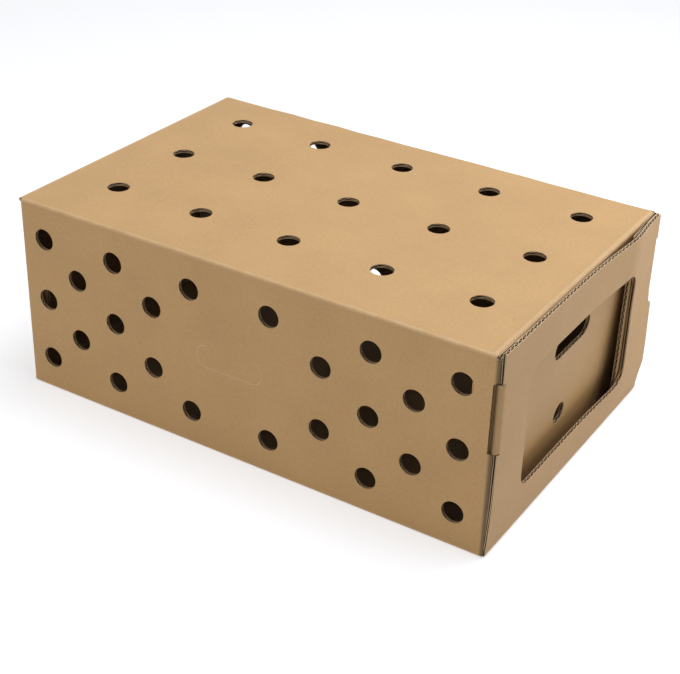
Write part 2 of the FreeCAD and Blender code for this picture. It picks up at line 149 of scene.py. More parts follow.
@dataclass(frozen=True)
class Fold:
    """Fold of a section; the radius is the outer face's, and outward folds turn away."""

    angle: float
    radius: float
    outward: bool = False

    @property
    def thinned(self) -> float:
        """Share of the thickness that is left inside the fold."""
        return 1.0 if self.outward else BOARD.left_in_fold(self.radius)

    @property
    def run(self) -> float:
        """Length of the sheet's middle layer inside the fold."""
        half = BOARD.thickness / 2 * self.thinned
        return self.angle * (self.radius + half if self.outward else self.radius - half)


class Run(NamedTuple):
    """Piece of a section: where it begins, its heading there, and its fold if it is one."""

    begin: float
    point: np.ndarray
    heading: float
    fold: Fold | None


class Section:
    """Line of the outer face of a folded sheet, from its first point on."""

    FEWEST_FACETS = 3

    def __init__(self, start: Corner, heading: float, steps: Sequence[Straight | Fold]) -> None:
        """Lay out the runs.

        Args:
            start: first point of the outer face, in the section's plane.
            heading: direction of the first run, in radians.
            steps: straight runs and folds, in order.
        """
        self.pieces: list[Run] = []
        point, travelled = np.array(start, float), 0.0
        for step in steps:
            fold = step if isinstance(step, Fold) else None
            self.pieces.append(Run(travelled, point.copy(), heading, fold))
            if fold is None:
                point = point + step.length * self._along(heading)
                travelled += step.length
                continue
            point = self._round(point, heading, fold, np.array([fold.run]), np.zeros(1))[0]
            heading += fold.angle if fold.outward else -fold.angle
            travelled += fold.run
        self.length = travelled
        self.pieces.append(Run(travelled, point, heading, None))

    @staticmethod
    def _along(heading: float) -> np.ndarray:
        """Unit vector of a heading."""
        return np.array([math.cos(heading), math.sin(heading)])

    @staticmethod
    def _across(heading: float) -> np.ndarray:
        """Unit vector to the left of a heading."""
        return np.array([-math.sin(heading), math.cos(heading)])

    def _round(
        self, point: np.ndarray, heading: float, fold: Fold, run: np.ndarray, height: np.ndarray
    ) -> np.ndarray:
        """Points of a fold, run along it and height above the outer face."""
        normal = self._across(heading)
        way = 1.0 if fold.outward else -1.0
        centre = point + way * fold.radius * normal
        turn = way * fold.angle * run / fold.run
        arm = height * fold.thinned - way * fold.radius
        cosine, sine = np.cos(turn), np.sin(turn)
        x, y = normal
        rolled = np.stack([x * cosine - y * sine, x * sine + y * cosine], axis=1)
        return centre + rolled * arm[:, None]

    def place(self, distance: np.ndarray, height: np.ndarray) -> np.ndarray:
        """Points at a distance along the section and a height above its outer face."""
        result = np.zeros((len(distance), 2))
        starts = [piece.begin for piece in self.pieces] + [math.inf]
        starts[0] = -math.inf
        for index, (begin, point, heading, fold) in enumerate(self.pieces):
            chosen = (distance >= starts[index]) & (distance < starts[index + 1])
            run, rise = distance[chosen] - begin, height[chosen]
            if fold is None:
                rise = rise * self._left_beside_folds(index, run)
                along, across = self._along(heading), self._across(heading)
                result[chosen] = point + run[:, None] * along + rise[:, None] * across
            else:
                result[chosen] = self._round(point, heading, fold, run, rise)
        return result

    def _left_beside_folds(self, index: int, run: np.ndarray) -> np.ndarray:
        """Share of the thickness that the folds beside a straight piece leave along its run."""
        left = np.ones(len(run))
        for neighbour in (index - 1, index + 1):
            fold = self.pieces[neighbour].fold if 0 <= neighbour < len(self.pieces) else None
            if fold is not None:
                away = run if neighbour < index else self.start_of(neighbour) - self.start_of(index) - run
                left -= (1.0 - fold.thinned) * nearness(away, BOARD.pressed_run)
        return left

    def fold_lines(self) -> list[float]:
        """Distances at which the sheet has to be divided so that its folds come out round."""
        lines: list[float] = []
        for begin, _, _, fold in self.pieces:
            if fold is not None:
                facets = max(self.FEWEST_FACETS, round(BOARD.fold_facets * fold.angle / RIGHT_ANGLE))
                lines += [begin + fold.run * i / facets for i in range(facets + 1)]
                lines += [begin - BOARD.pressed_run, begin + fold.run + BOARD.pressed_run]
        return lines

    def start_of(self, index: int) -> float:
        """Distance at which a piece of the section begins."""
        return self.pieces[index].begin

    def folds(self) -> list[int]:
        """Numbers of the pieces that are folds."""
        return [index for index, piece in enumerate(self.pieces) if piece.fold is not None]

    def away_from_fold(self, index: int, distance: np.ndarray) -> np.ndarray:
        """How far points lie outside the fold with this number, below 0 inside it."""
        return np.maximum(self.start_of(index) - distance, distance - self.start_of(index + 1))


def add_object(name: str, data: bpy.types.ID) -> bpy.types.Object:
    """Make an object and put it in the scene."""
    made = bpy.data.objects.new(name, data)
    bpy.context.scene.collection.objects.link(made)
    return made


def mesh_object(name: str, bm: bmesh.types.BMesh) -> bpy.types.Object:
    """Turn a finished BMesh into an object."""
    mesh = bpy.data.meshes.new(name)
    bm.to_mesh(mesh)
    bm.free()
    return add_object(name, mesh)


def discard(scratch: bpy.types.Object) -> None:
    """Delete an object that only served to build another one, and its mesh."""
    mesh = scratch.data
    bpy.data.objects.remove(scratch)
    bpy.data.meshes.remove(mesh)


def bisect(bm: bmesh.types.BMesh, axis: int, lines: Sequence[float]) -> None:
    """Divide faces along lines of one constant coordinate."""
    normal = Vector((0.0, 0.0, 0.0))
    normal[axis] = 1.0
    for line in lines:
        geometry = bm.verts[:] + bm.edges[:] + bm.faces[:]
        bmesh.ops.bisect_plane(bm, geom=geometry, plane_co=normal * line, plane_no=normal, dist=SNAP)


def thicken(bm: bmesh.types.BMesh, rise: float) -> None:
    """Turn faces into closed prisms."""
    raised = bmesh.ops.extrude_face_region(bm, geom=bm.faces[:], use_keep_orig=True)
    verts = [item for item in raised["geom"] if isinstance(item, bmesh.types.BMVert)]
    bmesh.ops.translate(bm, vec=(0.0, 0.0, rise), verts=verts)
    bmesh.ops.recalc_face_normals(bm, faces=bm.faces[:])


def combine(target: bpy.types.Object, tool: bpy.types.Object, operation: str) -> None:
    """Apply one boolean to an object."""
    modifier = target.modifiers.new("boolean", "BOOLEAN")
    modifier.object = tool
    modifier.operation = operation
    modifier.solver = "MANIFOLD"
    evaluated = target.evaluated_get(bpy.context.evaluated_depsgraph_get())
    result = bpy.data.meshes.new_from_object(evaluated)
    target.modifiers.clear()
    old = target.data
    target.data = result
    bpy.data.meshes.remove(old)


class Stencil:
    """Outlines drawn on the flat sheet, raised together into prisms."""

    ARC_FACETS = 10
    CIRCLE_FACETS = 36

    def __init__(self) -> None:
        """Start with nothing drawn."""
        self.bm = bmesh.new()

    def polygon(self, corners: Sequence[Corner], radius: float = 0.0) -> None:
        """Draw a closed outline, its right-angled corners rounded where a radius is given."""
        verts = [self.bm.verts.new((u, v, 0.0)) for u, v in corners]
        face = self.bm.faces.new(verts)
        face.normal_update()
        if face.normal.z < 0:
            face.normal_flip()
        if radius > 0:
            bmesh.ops.bevel(
                self.bm, geom=verts, offset=radius, offset_type="OFFSET", segments=self.ARC_FACETS,
                profile=0.5, affect="VERTICES", material=-1,
            )

    def rectangle(self, low: Corner, high: Corner, radius: float = 0.0) -> None:
        """Draw an upright rectangle."""
        self.polygon([low, (high[0], low[1]), high, (low[0], high[1])], radius)

    def disc(self, centre: Corner, diameter: float) -> None:
        """Draw a circle."""
        place = Matrix.Translation((centre[0], centre[1], 0.0))
        bmesh.ops.create_circle(
            self.bm, cap_ends=True, segments=self.CIRCLE_FACETS, radius=diameter / 2, matrix=place
        )

    def divide(self, along_u: Sequence[float], along_v: Sequence[float]) -> None:
        """Cut the drawn faces along lines of constant u and of constant v."""
        for axis, lines in enumerate((along_u, along_v)):
            bisect(self.bm, axis, lines)

    def raise_between(self, low: float, high: float, name: str) -> bpy.types.Object:
        """Turn the faces into closed prisms and hand them over as an object."""
        bmesh.ops.translate(self.bm, vec=(0.0, 0.0, low), verts=self.bm.verts[:])
        thicken(self.bm, high - low)
        return mesh_object(name, self.bm)


Drawing = Callable[[Stencil], None]


@dataclass
class Sheet:
    """Flat blank of board: its outline, holes and fluted fields, all in u and v.

    The outer face lies at height 0 and the inner face at minus the thickness.
    """

    name: str
    outline: Sequence[Corner]
    draw_holes: Drawing
    draw_fluted: Drawing
    lines_u: Sequence[float]
    lines_v: Sequence[float]
    web_lines_u: Sequence[float]
    draw_scores: Drawing | None = None
    score_depth: float = 0.15

    CLEAR = 3.0
    THROUGH = -BOARD.thickness - CLEAR
    STEEP = 0.5
    LEVEL_SLACK = 0.01

    def _cutter(self, draw: Drawing, low: float, label: str) -> bpy.types.Object:
        """Raise what is drawn from a level to clear of the outer face."""
        stencil = Stencil()
        draw(stencil)
        return stencil.raise_between(low, self.CLEAR, f"{self.name}_{label}")

    def _liner(self, top: float, holes: bpy.types.Object) -> bpy.types.Object:
        """Build one liner with its holes."""
        stencil = Stencil()
        stencil.polygon(self.outline)
        stencil.divide(self.lines_u, self.lines_v)
        liner = stencil.raise_between(top - BOARD.liner, top, f"{self.name}_liner")
        combine(liner, holes, "DIFFERENCE")
        return liner

    def _web(self, holes: bpy.types.Object) -> bpy.types.Object:
        """Build the fluted web and trim it to the fluted fields."""
        us, vs = zip(*self.outline)
        columns = math.ceil((max(vs) - min(vs)) / BOARD.flute_pitch * BOARD.facets_per_flute)
        facet = BOARD.flute_pitch / BOARD.facets_per_flute
        bm = bmesh.new()
        bmesh.ops.create_grid(bm, x_segments=1, y_segments=columns, size=0.5)
        bmesh.ops.scale(bm, vec=(max(us) - min(us), columns * facet, 1.0), verts=bm.verts[:])
        middle = ((max(us) + min(us)) / 2, min(vs) + columns * facet / 2, 0.0)
        bmesh.ops.translate(bm, vec=middle, verts=bm.verts[:])
        bisect(bm, 0, self.web_lines_u)
        level = -(BOARD.thickness - BOARD.web) / 2
        for vert in bm.verts:
            vert.co.z = level + BOARD.wave_height * math.sin(2 * math.pi * vert.co.y / BOARD.flute_pitch)
        thicken(bm, -BOARD.web)
        web = mesh_object(f"{self.name}_web", bm)
        kept = self._cutter(self.draw_fluted, self.THROUGH, "fields")
        combine(web, kept, "INTERSECT")
        combine(web, holes, "DIFFERENCE")
        discard(kept)
        return web

    def build(self) -> bmesh.types.BMesh:
        """Cut the three layers.

        Returns:
            The flat board as closed shells, each face with the number of its finish.
        """
        holes = self._cutter(self.draw_holes, self.THROUGH, "holes")
        outer = self._liner(0.0, holes)
        if self.draw_scores is not None:
            scores = self._cutter(self.draw_scores, -self.score_depth, "scores")
            combine(outer, scores, "DIFFERENCE")
            discard(scores)
        inner = self._liner(BOARD.liner - BOARD.thickness, holes)
        layers = ((outer, Surface.OUTER_LINER), (inner, Surface.INNER_LINER), (self._web(holes), Surface.WEB))
        board = bmesh.new()
        for layer, surface in layers:
            first = len(board.faces)
            board.from_mesh(layer.data)
            board.faces.ensure_lookup_table()
            for face in board.faces[first:]:
                face.normal_update()
                face.material_index = self._finish(face, surface).value
            discard(layer)
        discard(holes)
        return board

    def _finish(self, face: bmesh.types.BMFace, surface: Surface) -> Surface:
        """Tell a liner's faces from its cut edges and from what a shallow cut lays bare."""
        level, slack = face.calc_center_median().z, self.LEVEL_SLACK
        sunk = surface is Surface.OUTER_LINER and -BOARD.liner + slack < level < -slack
        return Surface.CUT_EDGE if abs(face.normal.z) < self.STEEP or sunk else surface


def board_piece(
    name: str, sheet: Sheet, shape: Folding, creases: Folding, materials: Sequence[bpy.types.Material]
) -> bpy.types.Object:
    """Fold a flat sheet and make it an object.

    Args:
        name: the piece's name.
        sheet: the flat blank.
        shape: gives each flat point its folded place, in millimetres.
        creases: gives each flat point its nearness to a fold, up to 1 for scuffed paper with
        painted highlight and shade, and down to -1 for painted shade in hard-pressed folds and rolls.
        materials: the finishes, in the order of Surface.

    Returns:
        The piece, at the origin, with its place in its mesh.
    """
    bm = sheet.build()
    bmesh.ops.triangulate(bm, faces=bm.faces[:])
    piece = mesh_object(name, bm)
    mesh = piece.data
    flat = np.zeros(len(mesh.vertices) * 3)
    mesh.vertices.foreach_get("co", flat)
    flat = flat.reshape(-1, 3)
    mesh.vertices.foreach_set("co", (shape(flat) * MM).ravel())
    attribute = mesh.attributes.new("crease", "FLOAT", "POINT")
    attribute.data.foreach_set("value", creases(flat))
    corners = np.zeros(len(mesh.loops), np.int32)
    mesh.loops.foreach_get("vertex_index", corners)
    mesh.uv_layers.new(name="sheet").uv.foreach_set("vector", (flat[corners, :2] * MM).ravel())
    for material in materials:
        mesh.materials.append(material)
    mesh.update()
    mesh.shade_smooth()
    mesh.set_sharp_from_angle(angle=SHARP_ANGLE)
    LOG.info("%s: %d triangles", name, len(mesh.polygons))
    return piece


def mirrored(corners: Sequence[Corner], axis: int) -> list[Corner]:
    """Corners at minus u (axis 0) or minus v (axis 1), in the order that closes the outline."""
    return [(-u, v) if axis == 0 else (u, -v) for u, v in reversed(corners)]


def spread(low: float, high: float, step: float) -> list[float]:
    """Evenly spaced values between two limits, both left out."""
    count = max(1, round((high - low) / step))
    return [low + (high - low) * i / count for i in range(1, count)]


def draw_end_openings(stencil: Stencil, along: Callable[[float], float], middle: float) -> None:
    """Draw the hand hole and the round hole of an end, by their heights along the sheet."""
    width, rise = OPENINGS.hand_hole
    u = along(OPENINGS.hand_hole_level)
    low, high = (u - rise / 2, middle - width / 2), (u + rise / 2, middle + width / 2)
    stencil.rectangle(low, high, rise / 2 * ROUND_END)
    stencil.disc((along(OPENINGS.end_vent_level), middle), OPENINGS.vent)


def ripple(place: np.ndarray, waves: Sequence[tuple[float, float, float]]) -> np.ndarray:
    """Sum of sine waves, each given by its height, length and phase."""
    return sum(height * np.sin(2 * math.pi * place / length + phase) for height, length, phase in waves)


@dataclass(frozen=True)
class Bulge:
    """How far the right end flap stands off the box, in millimetres.

    The back dust flap springs open behind it and lifts it along one upright line.
    Between that line and the back edge it falls back, held by the tab.

    Attributes:
        line: depth of the lifted line.
        flat_until: depth at which the flap begins to rise towards it.
        peak_low: stand-off along the line near the foot.
        peak_high: the same at the top.
        flare: how late the line's stand-off grows with the height.
        fall_off: how soon the flap falls back behind the line.
        edge_low: stand-off of the back edge near the foot.
        edge_middle: the same just below the tab.
        rise_from: height up to which the floor fold holds the flap flat.
        rise_to: height from which it no longer does.
        tab_foot: height at which the tab begins to hold the back edge.
        tab_hold: height from which it holds the edge flat.
        top: height of the flap.
        back_edge: depth of the back edge.
        soft: half the width over which the bend along the line is rounded.
    """

    line: float = 113.5
    flat_until: float = -11.5
    peak_low: float = 3.4
    peak_high: float = 7.2
    flare: float = 4.0
    fall_off: float = 1.6
    edge_low: float = 3.6
    edge_middle: float = 2.0
    rise_from: float = 10.0
    rise_to: float = 46.0
    tab_foot: float = 118.0
    tab_hold: float = 128.0
    top: float = 233.5
    back_edge: float = 190.5
    soft: float = 16.0

    # slope at the end of a strip that is clamped flat and lifted by 1 over a run of 1
    END_SLOPE = 1.5
    # lines that divide the rounded bend
    SOFT_LINES = 9

    def peak(self, height: np.ndarray) -> np.ndarray:
        """Stand-off along the line that the dust flap lifts."""
        share = np.clip(height / self.top, 0.0, 1.0)
        lifted = self.peak_low + (self.peak_high - self.peak_low) * share**self.flare
        return lifted * smooth_step(self.rise_from, self.rise_to, height)

    def edge(self, height: np.ndarray) -> np.ndarray:
        """Stand-off along the flap's back edge."""
        share = np.clip((height - self.rise_to) / (self.tab_foot - self.rise_to), 0.0, 1.0)
        loose = self.edge_low + (self.edge_middle - self.edge_low) * share
        held = 1.0 - smooth_step(self.tab_foot, self.tab_hold, height)
        return loose * held * smooth_step(self.rise_from, self.rise_to, height)

    def at(self, depth: np.ndarray, height: np.ndarray) -> np.ndarray:
        """Stand-off at a place on the flap."""
        rise_run, fall_run = self.line - self.flat_until, self.back_edge - self.line
        share = np.clip((depth - self.flat_until) / rise_run, 0.0, 1.0)
        ramp = self.END_SLOPE * share**2 - (self.END_SLOPE - 1.0) * share**3
        fall = 1.0 - (1.0 - np.clip((depth - self.line) / fall_run, 0.0, 1.0)) ** self.fall_off
        peak, edge = self.peak(height), self.edge(height)
        bend = self.END_SLOPE * peak / rise_run + self.fall_off * (peak - edge) / fall_run
        rounded = bend * self.soft / 4 * np.clip(1.0 - np.abs(depth - self.line) / self.soft, 0.0, 1.0) ** 2
        return np.where(depth <= self.line, peak * ramp, peak + (edge - peak) * fall) - rounded


BULGE = Bulge()


@dataclass
class Sleeve:
    """Tube of four walls with its dust flaps, leaning inner flap and glued lap."""

    length: float
    depth: float
    height: float
    raw_edge_inset: float = 1.0
    dust_flap_width: float = 71.0
    dust_flap_top: float = 230.0
    dust_flap_ride: float = 2.6
    dust_flap_spring: float = 0.55
    inner_flap_lean: float = math.radians(3.55)
    inner_flap_foot: float = 7.0
    inner_flap_shoulder: float = 0.6
    inner_flap_side: float = 179.5
    inner_flap_taper: float = 30.0
    seam_inset: float = 6.0
    lap_width: float = 35.0
    lap_inset: float = 40.0
    lap_taper: float = 12.0
    relief_reach: float = 0.5
    relief_diameter: float = 4.6
    slot_depth: float = 5.8
    slot_low: float = 122.0
    slot_high: float = 202.6
    slot_bevel: float = 3.8
    slot_into_flap: float = 5.0
    top_vents_u: tuple[float, float, int] = (-226.0, 113.7, 5)
    top_vents_y: tuple[float, float, int] = (-106.5, 117.0, 3)
    middle_row: float = 115.0
    row_pitch: float = 37.2
    push_in_centre: Corner = (-15.0, 116.0)
    lock_slot_y: Corner = (175.2, 180.8)
    lock_slot_z: Corner = (85.0, 129.2)
    cut_line: float = 0.9
    # reach of the folds' scuffed paper with painted highlight and of the painted shade beside it
    scuff_and_shade_reach: float = 6.0
    # runs before and after the right end's upright corner folds over which their painted shade fades
    fold_shade_before: float = 3.5
    fold_shade_after: Corner = (1.0, 9.0)
    ripple_reach: float = 26.0
    ripple_fade: float = 0.12
    ripple_sink: float = 0.35
    ripple_drop: float = 0.5
    grid: float = 32.0
    beside_folds: tuple[float, ...] = (2.5, 6.0, 12.0)
    beside_ends: tuple[float, ...] = (6.0, 14.0)

    SLACK = 0.01
    # columns of wall vents from the left end, and which of them each row has, from the top down
    COLUMNS = dict(A=31.0, B=75.5, C=126.5, D=177.5, E=228.0, F=328.0, G=391.0, H=448.0, I=498.5, J=549.0)
    ROWS = ((2, "ACEFHJ"), (1, "BDGI"), (0, "ACHJ"), (-1, "BDGI"), (-2, "ACEFHJ"))
    # height and length of each wave of the top's creases, and its phases at the front (-1) and back (1)
    WAVES = ((0.30, 61.0), (0.22, 37.0), (0.16, 23.0))
    PHASES = ((-1.0, (0.0, 1.7, 0.6)), (1.0, (2.0, 3.7, -1.4)))

    def __post_init__(self) -> None:
        """Lay out the ring of walls and the two kinds of end fold."""
        bend, tight = BOARD.fold_radius, BOARD.corner_radius
        half_depth, half_length = self.depth / 2, self.length / 2
        across, rise = self.depth - 2 * tight, self.height - 2 * tight
        corner = Fold(RIGHT_ANGLE, tight)
        steps = (
            Straight(across + tight - self.raw_edge_inset), corner,
            Straight(rise), corner,
            Straight(across), corner,
            Straight(rise - BOARD.thickness), corner,
            Straight(self.lap_width - BOARD.thickness),
        )
        self.ring = Section((half_depth - self.raw_edge_inset, 0.0), math.pi, steps)
        (self.floor_v, self.floor_end, self.front_v, self.front_end, self.top_v, self.top_end,
         self.back_v, self.back_end, self.lap_v) = (self.ring.start_of(i) for i in range(len(steps)))
        self.wall_run = half_length - tight
        steps = (Straight(self.wall_run), corner, Straight(self.dust_flap_width - tight))
        self.wall_section = Section((0.0, 0.0), 0.0, steps)
        self.top_run = half_length - BOARD.thickness - bend
        turn = Fold(RIGHT_ANGLE + self.inner_flap_lean, bend)
        hang = self.height - bend * (1 + math.sin(self.inner_flap_lean)) - self.inner_flap_foot
        self.flap_head = self.inner_flap_foot + hang
        steps = (Straight(self.top_run), turn, Straight(hang / math.cos(self.inner_flap_lean)))
        self.top_section = Section((0.0, 0.0), 0.0, steps)
        self.seam = half_length - self.seam_inset
        self.side_gap = half_depth - tight - self.inner_flap_side
        self.front_top, self.back_top = self.on_front(self.dust_flap_top), self.on_back(self.dust_flap_top)

    def on_front(self, height: float) -> float:
        """Place across the sheet of a height on the front wall."""
        return self.front_v + height - BOARD.corner_radius

    def on_back(self, height: float) -> float:
        """Place across the sheet of a height on the back wall."""
        return self.back_v + self.height - BOARD.corner_radius - height

    def on_top(self, depth: float) -> float:
        """Place across the sheet of a depth on the top panel."""
        return self.top_v + depth + self.depth / 2 - BOARD.corner_radius

    def on_inner_flap(self, height: float) -> float:
        """Place along the sheet of a height on an inner end flap."""
        return self.top_section.start_of(2) + (self.flap_head - height) / math.cos(self.inner_flap_lean)

    def _end(self, floor: float, notch: float, top: Sequence[Corner]) -> list[Corner]:
        """Corners of one end of the blank, from the floor panel round to the lap.

        Args:
            floor: reach of the floor panel.
            notch: reach of the cuts between the dust flaps and the top panel.
            top: corners of the top panel's end.
        """
        wall, dust = self.wall_run, self.wall_section.length
        return [
            (floor, self.floor_v), (floor, self.floor_end), (wall, self.floor_end), (wall, self.front_v),
            (dust, self.front_v), (dust, self.front_top), (notch, self.front_top), (notch, self.top_v),
            *top,
            (notch, self.top_end), (notch, self.back_top), (dust, self.back_top), (dust, self.back_end),
            (wall, self.back_end), *self._lap(),
        ]

    def _lap(self) -> list[Corner]:
        """Corners of the glued lap at plus u."""
        end = self.length / 2 - self.lap_inset
        return [(end, self.lap_v), (end - self.lap_taper, self.ring.length)]

    def outline(self) -> list[Corner]:
        """Corners of the die-cut blank."""
        neck, shoulder = self.top_section.start_of(2), self.inner_flap_shoulder
        side = (
            (self.top_run, 0.0),
            (self.top_run, shoulder),
            (neck, shoulder),
            (neck + self.inner_flap_taper, self.side_gap),
            (self.top_section.length, self.side_gap),
        )
        inner_flap = [(u, self.top_v + inset) for u, inset in side]
        inner_flap += [(u, self.top_end - inset) for u, inset in reversed(side)]
        right = self._end(self.seam, self.wall_run - self.relief_reach, inner_flap)
        left = self._end(self.length / 2, self.wall_run, [(self.seam, self.top_v), (self.seam, self.top_end)])
        return right + mirrored(left, 0)

    def draw_holes(self, stencil: Stencil) -> None:
        """Draw the ventilation holes, hand holes, tab slots and corner reliefs."""
        for steps, letters in self.ROWS:
            level = self.middle_row + steps * self.row_pitch
            for letter in letters:
                u = self.COLUMNS[letter] - self.length / 2
                stencil.disc((u, self.on_front(level)), OPENINGS.vent)
                stencil.disc((u, self.on_back(level)), OPENINGS.vent)
        first_u, step_u, count_u = self.top_vents_u
        first_y, step_y, count_y = self.top_vents_y
        for i in range(count_u):
            for j in range(count_y):
                stencil.disc((first_u + i * step_u, self.on_top(first_y + j * step_y)), OPENINGS.vent)
        draw_end_openings(stencil, self.on_inner_flap, self.on_top(0.0))
        for relief, inward in ((self.top_v, -1), (self.top_end, 1)):
            across_fold = relief + inward * (self.top_v - self.front_end) / 2
            stencil.disc((self.wall_run, across_fold), self.relief_diameter)
        for place in (self.on_front, self.on_back):
            self._draw_tab_slot(stencil, place)
            self._draw_lock_slot(stencil, place)

    def _draw_tab_slot(self, stencil: Stencil, place: Callable[[float], float]) -> None:
        """Draw a tab slot across a corner fold; its top is cut off aslant beside the wall."""
        near = self.length / 2 - self.slot_depth
        far = self.wall_section.start_of(2) + self.slot_into_flap
        corners = (
            (near, self.slot_low),
            (far, self.slot_low),
            (far, self.slot_high),
            (near + self.slot_bevel, self.slot_high),
            (near, self.slot_high - self.slot_bevel),
        )
        stencil.polygon([(u, place(z)) for u, z in corners])

    def _draw_lock_slot(self, stencil: Stencil, place: Callable[[float], float]) -> None:
        """Draw the slot in a left dust flap that takes a tab of the hung flap."""
        fold_end = self.wall_section.start_of(2) + self.depth / 2 - BOARD.corner_radius
        far, near = (y - fold_end for y in self.lock_slot_y)
        low, high = sorted(place(z) for z in self.lock_slot_z)
        stencil.rectangle((far, low), (near, high))

    def draw_fluted(self, stencil: Stencil) -> None:
        """Draw the fields between the folds, where the flutes are not crushed."""
        wall, neck, dust = self.wall_run, self.wall_section.start_of(2), self.wall_section.length
        stencil.rectangle((-self.length / 2, self.floor_v), (self.seam, self.floor_end))
        stencil.rectangle((-wall, self.front_v), (wall, self.front_end))
        stencil.rectangle((-self.seam, self.top_v), (self.top_run, self.top_end))
        stencil.rectangle((-wall, self.back_v), (wall, self.back_end))
        stencil.polygon(self._lap() + mirrored(self._lap(), 0))
        for near, far in ((neck, dust), (-dust, -neck)):
            stencil.rectangle((near, self.front_v), (far, self.front_top))
            stencil.rectangle((near, self.back_top), (far, self.back_end))
        throat = (self.top_section.start_of(2), self.top_v + self.side_gap)
        stencil.rectangle(throat, (self.top_section.length, self.top_end - self.side_gap))

    def draw_scores(self, stencil: Stencil) -> None:
        """Draw the cut line of the push-in hand hole on the front and back walls."""
        u, level = self.push_in_centre
        line = push_in_line(*OPENINGS.hand_hole, self.cut_line)
        for place, way in ((self.on_front, 1.0), (self.on_back, -1.0)):
            stencil.polygon([(u + a, place(level) + way * b) for a, b in line])

    def sheet(self) -> Sheet:
        """Flat blank with the lines that its folds and waves need."""
        even_u = spread(-self.wall_run, self.wall_run, self.grid)
        even_flap = spread(self.top_section.start_of(2), self.top_section.length, self.grid)
        both = self.wall_section.fold_lines() + [self.wall_run - inset for inset in self.beside_ends]
        lines_u = even_u + self.top_section.fold_lines() + even_flap + [s * u for s in (1, -1) for u in both]
        lines_v = self.ring.fold_lines()
        starts = [self.ring.start_of(i) for i in range(len(self.ring.pieces))]
        for low, high in zip(starts[0::2], starts[1::2]):
            lines_v += spread(low, high, self.grid)
            lines_v += [low + inset for inset in self.beside_folds]
            lines_v += [high - inset for inset in reversed(self.beside_folds)]
        return Sheet(
            "sleeve", self.outline(), self.draw_holes, self.draw_fluted, lines_u, lines_v, even_u + even_flap,
            draw_scores=self.draw_scores,
        )

    def creases(self, flat: np.ndarray) -> np.ndarray:
        """Nearness of each flat point to a fold, for scuffed paper with painted highlight and shade, and
        below 0 painted shade at the right end's upright corner folds.
        """
        u, v = np.abs(flat[:, 0]), flat[:, 1]
        near = np.zeros(len(flat))
        for fold in self.ring.folds():
            near = np.maximum(near, nearness(self.ring.away_from_fold(fold, v), self.scuff_and_shade_reach))
        walls, hanging = self._bent_at_the_ends(flat)
        beside_top = nearness(self.top_section.away_from_fold(1, u), self.scuff_and_shade_reach)
        near = np.where(hanging, np.maximum(near, beside_top), near)
        before, after = self.wall_section.start_of(1) - u, u - self.wall_section.start_of(2)
        eased_before = smooth_step(0.0, self.fold_shade_before, before)
        eased = np.maximum(eased_before, smooth_step(*self.fold_shade_after, after))
        # painted shade in and beside the right end's upright corner folds
        return np.where(walls & (eased < 1.0) & (flat[:, 0] > 0), eased - 1.0, near)

    def _bent_at_the_ends(self, flat: np.ndarray) -> tuple[np.ndarray, np.ndarray]:
        """Which points belong to the walls with their dust flaps, and which to the top's right half."""
        v, shoulder = flat[:, 1], self.inner_flap_shoulder / 2
        beyond = np.abs(flat[:, 0]) > self.wall_run
        front_end = np.where(beyond, self.front_top, self.front_end)
        back_start = np.where(beyond, self.back_top, self.back_v)
        on_front = (v > self.front_v - self.SLACK) & (v < front_end + self.SLACK)
        on_back = (v > back_start - self.SLACK) & (v < self.back_end + self.SLACK)
        on_top = (v > self.top_v + shoulder) & (v < self.top_end - shoulder)
        return on_front | on_back, on_top & (flat[:, 0] > 0)

    def fold(self, flat: np.ndarray) -> np.ndarray:
        """Fold the blank up, then let its board give a little."""
        u, v, height = flat[:, 0], flat[:, 1], flat[:, 2]
        side, along, raised = np.sign(u), np.abs(u), height.copy()
        walls, hanging = self._bent_at_the_ends(flat)
        for chosen, section in ((hanging, self.top_section), (walls, self.wall_section)):
            placed = section.place(along[chosen], height[chosen])
            along[chosen], raised[chosen] = placed[:, 0], placed[:, 1]
        above = np.where(walls & (v < self.top_v), v - self.front_end, self.back_v - v)
        above = np.where(walls & (np.abs(u) > self.wall_run), np.clip(above, 0.0, None), 0.0)
        around = self.ring.place(v + np.where(v < self.top_v, -above, above), raised)
        folded = np.stack([side * along, around[:, 0], around[:, 1] + above], axis=1)
        self._spring_dust_flap(folded, flat)
        self._ripple_crease(folded)
        return folded

    def _spring_dust_flap(self, folded: np.ndarray, flat: np.ndarray) -> None:
        """Let the right back dust flap stand open against the end flap, a little high."""
        flap = (flat[:, 0] > self.wall_section.start_of(2)) & (flat[:, 1] > self.top_end)
        hinge = self.depth / 2 - BOARD.corner_radius
        swing = (hinge - folded[flap, 1]) / (hinge - (self.depth / 2 - self.dust_flap_width))
        swing = np.clip(swing, 0.0, None)
        folded[flap, 0] += swing * BULGE.peak(folded[flap, 2]) * self.dust_flap_spring
        folded[flap, 2] += swing * self.dust_flap_ride

    def _ripple_crease(self, folded: np.ndarray) -> None:
        """Leave the top's front and back creases a little uneven."""
        for way, phases in self.PHASES:
            out = self.depth / 2 - way * folded[:, 1]
            down = self.height - folded[:, 2]
            fade = np.clip(1.0 - np.maximum(out, down) / self.ripple_reach, 0.0, 1.0) ** 2
            middle = np.clip(1.0 - np.abs(folded[:, 0]) / (self.length / 2), 0.0, 1.0)
            fade *= smooth_step(0.0, self.ripple_fade, middle)
            waves = [(*wave, phase) for wave, phase in zip(self.WAVES, phases)]
            give = ripple(folded[:, 0], waves) - self.ripple_sink
            folded[:, 1] += way * give * fade
            folded[:, 2] += give * fade * self.ripple_drop


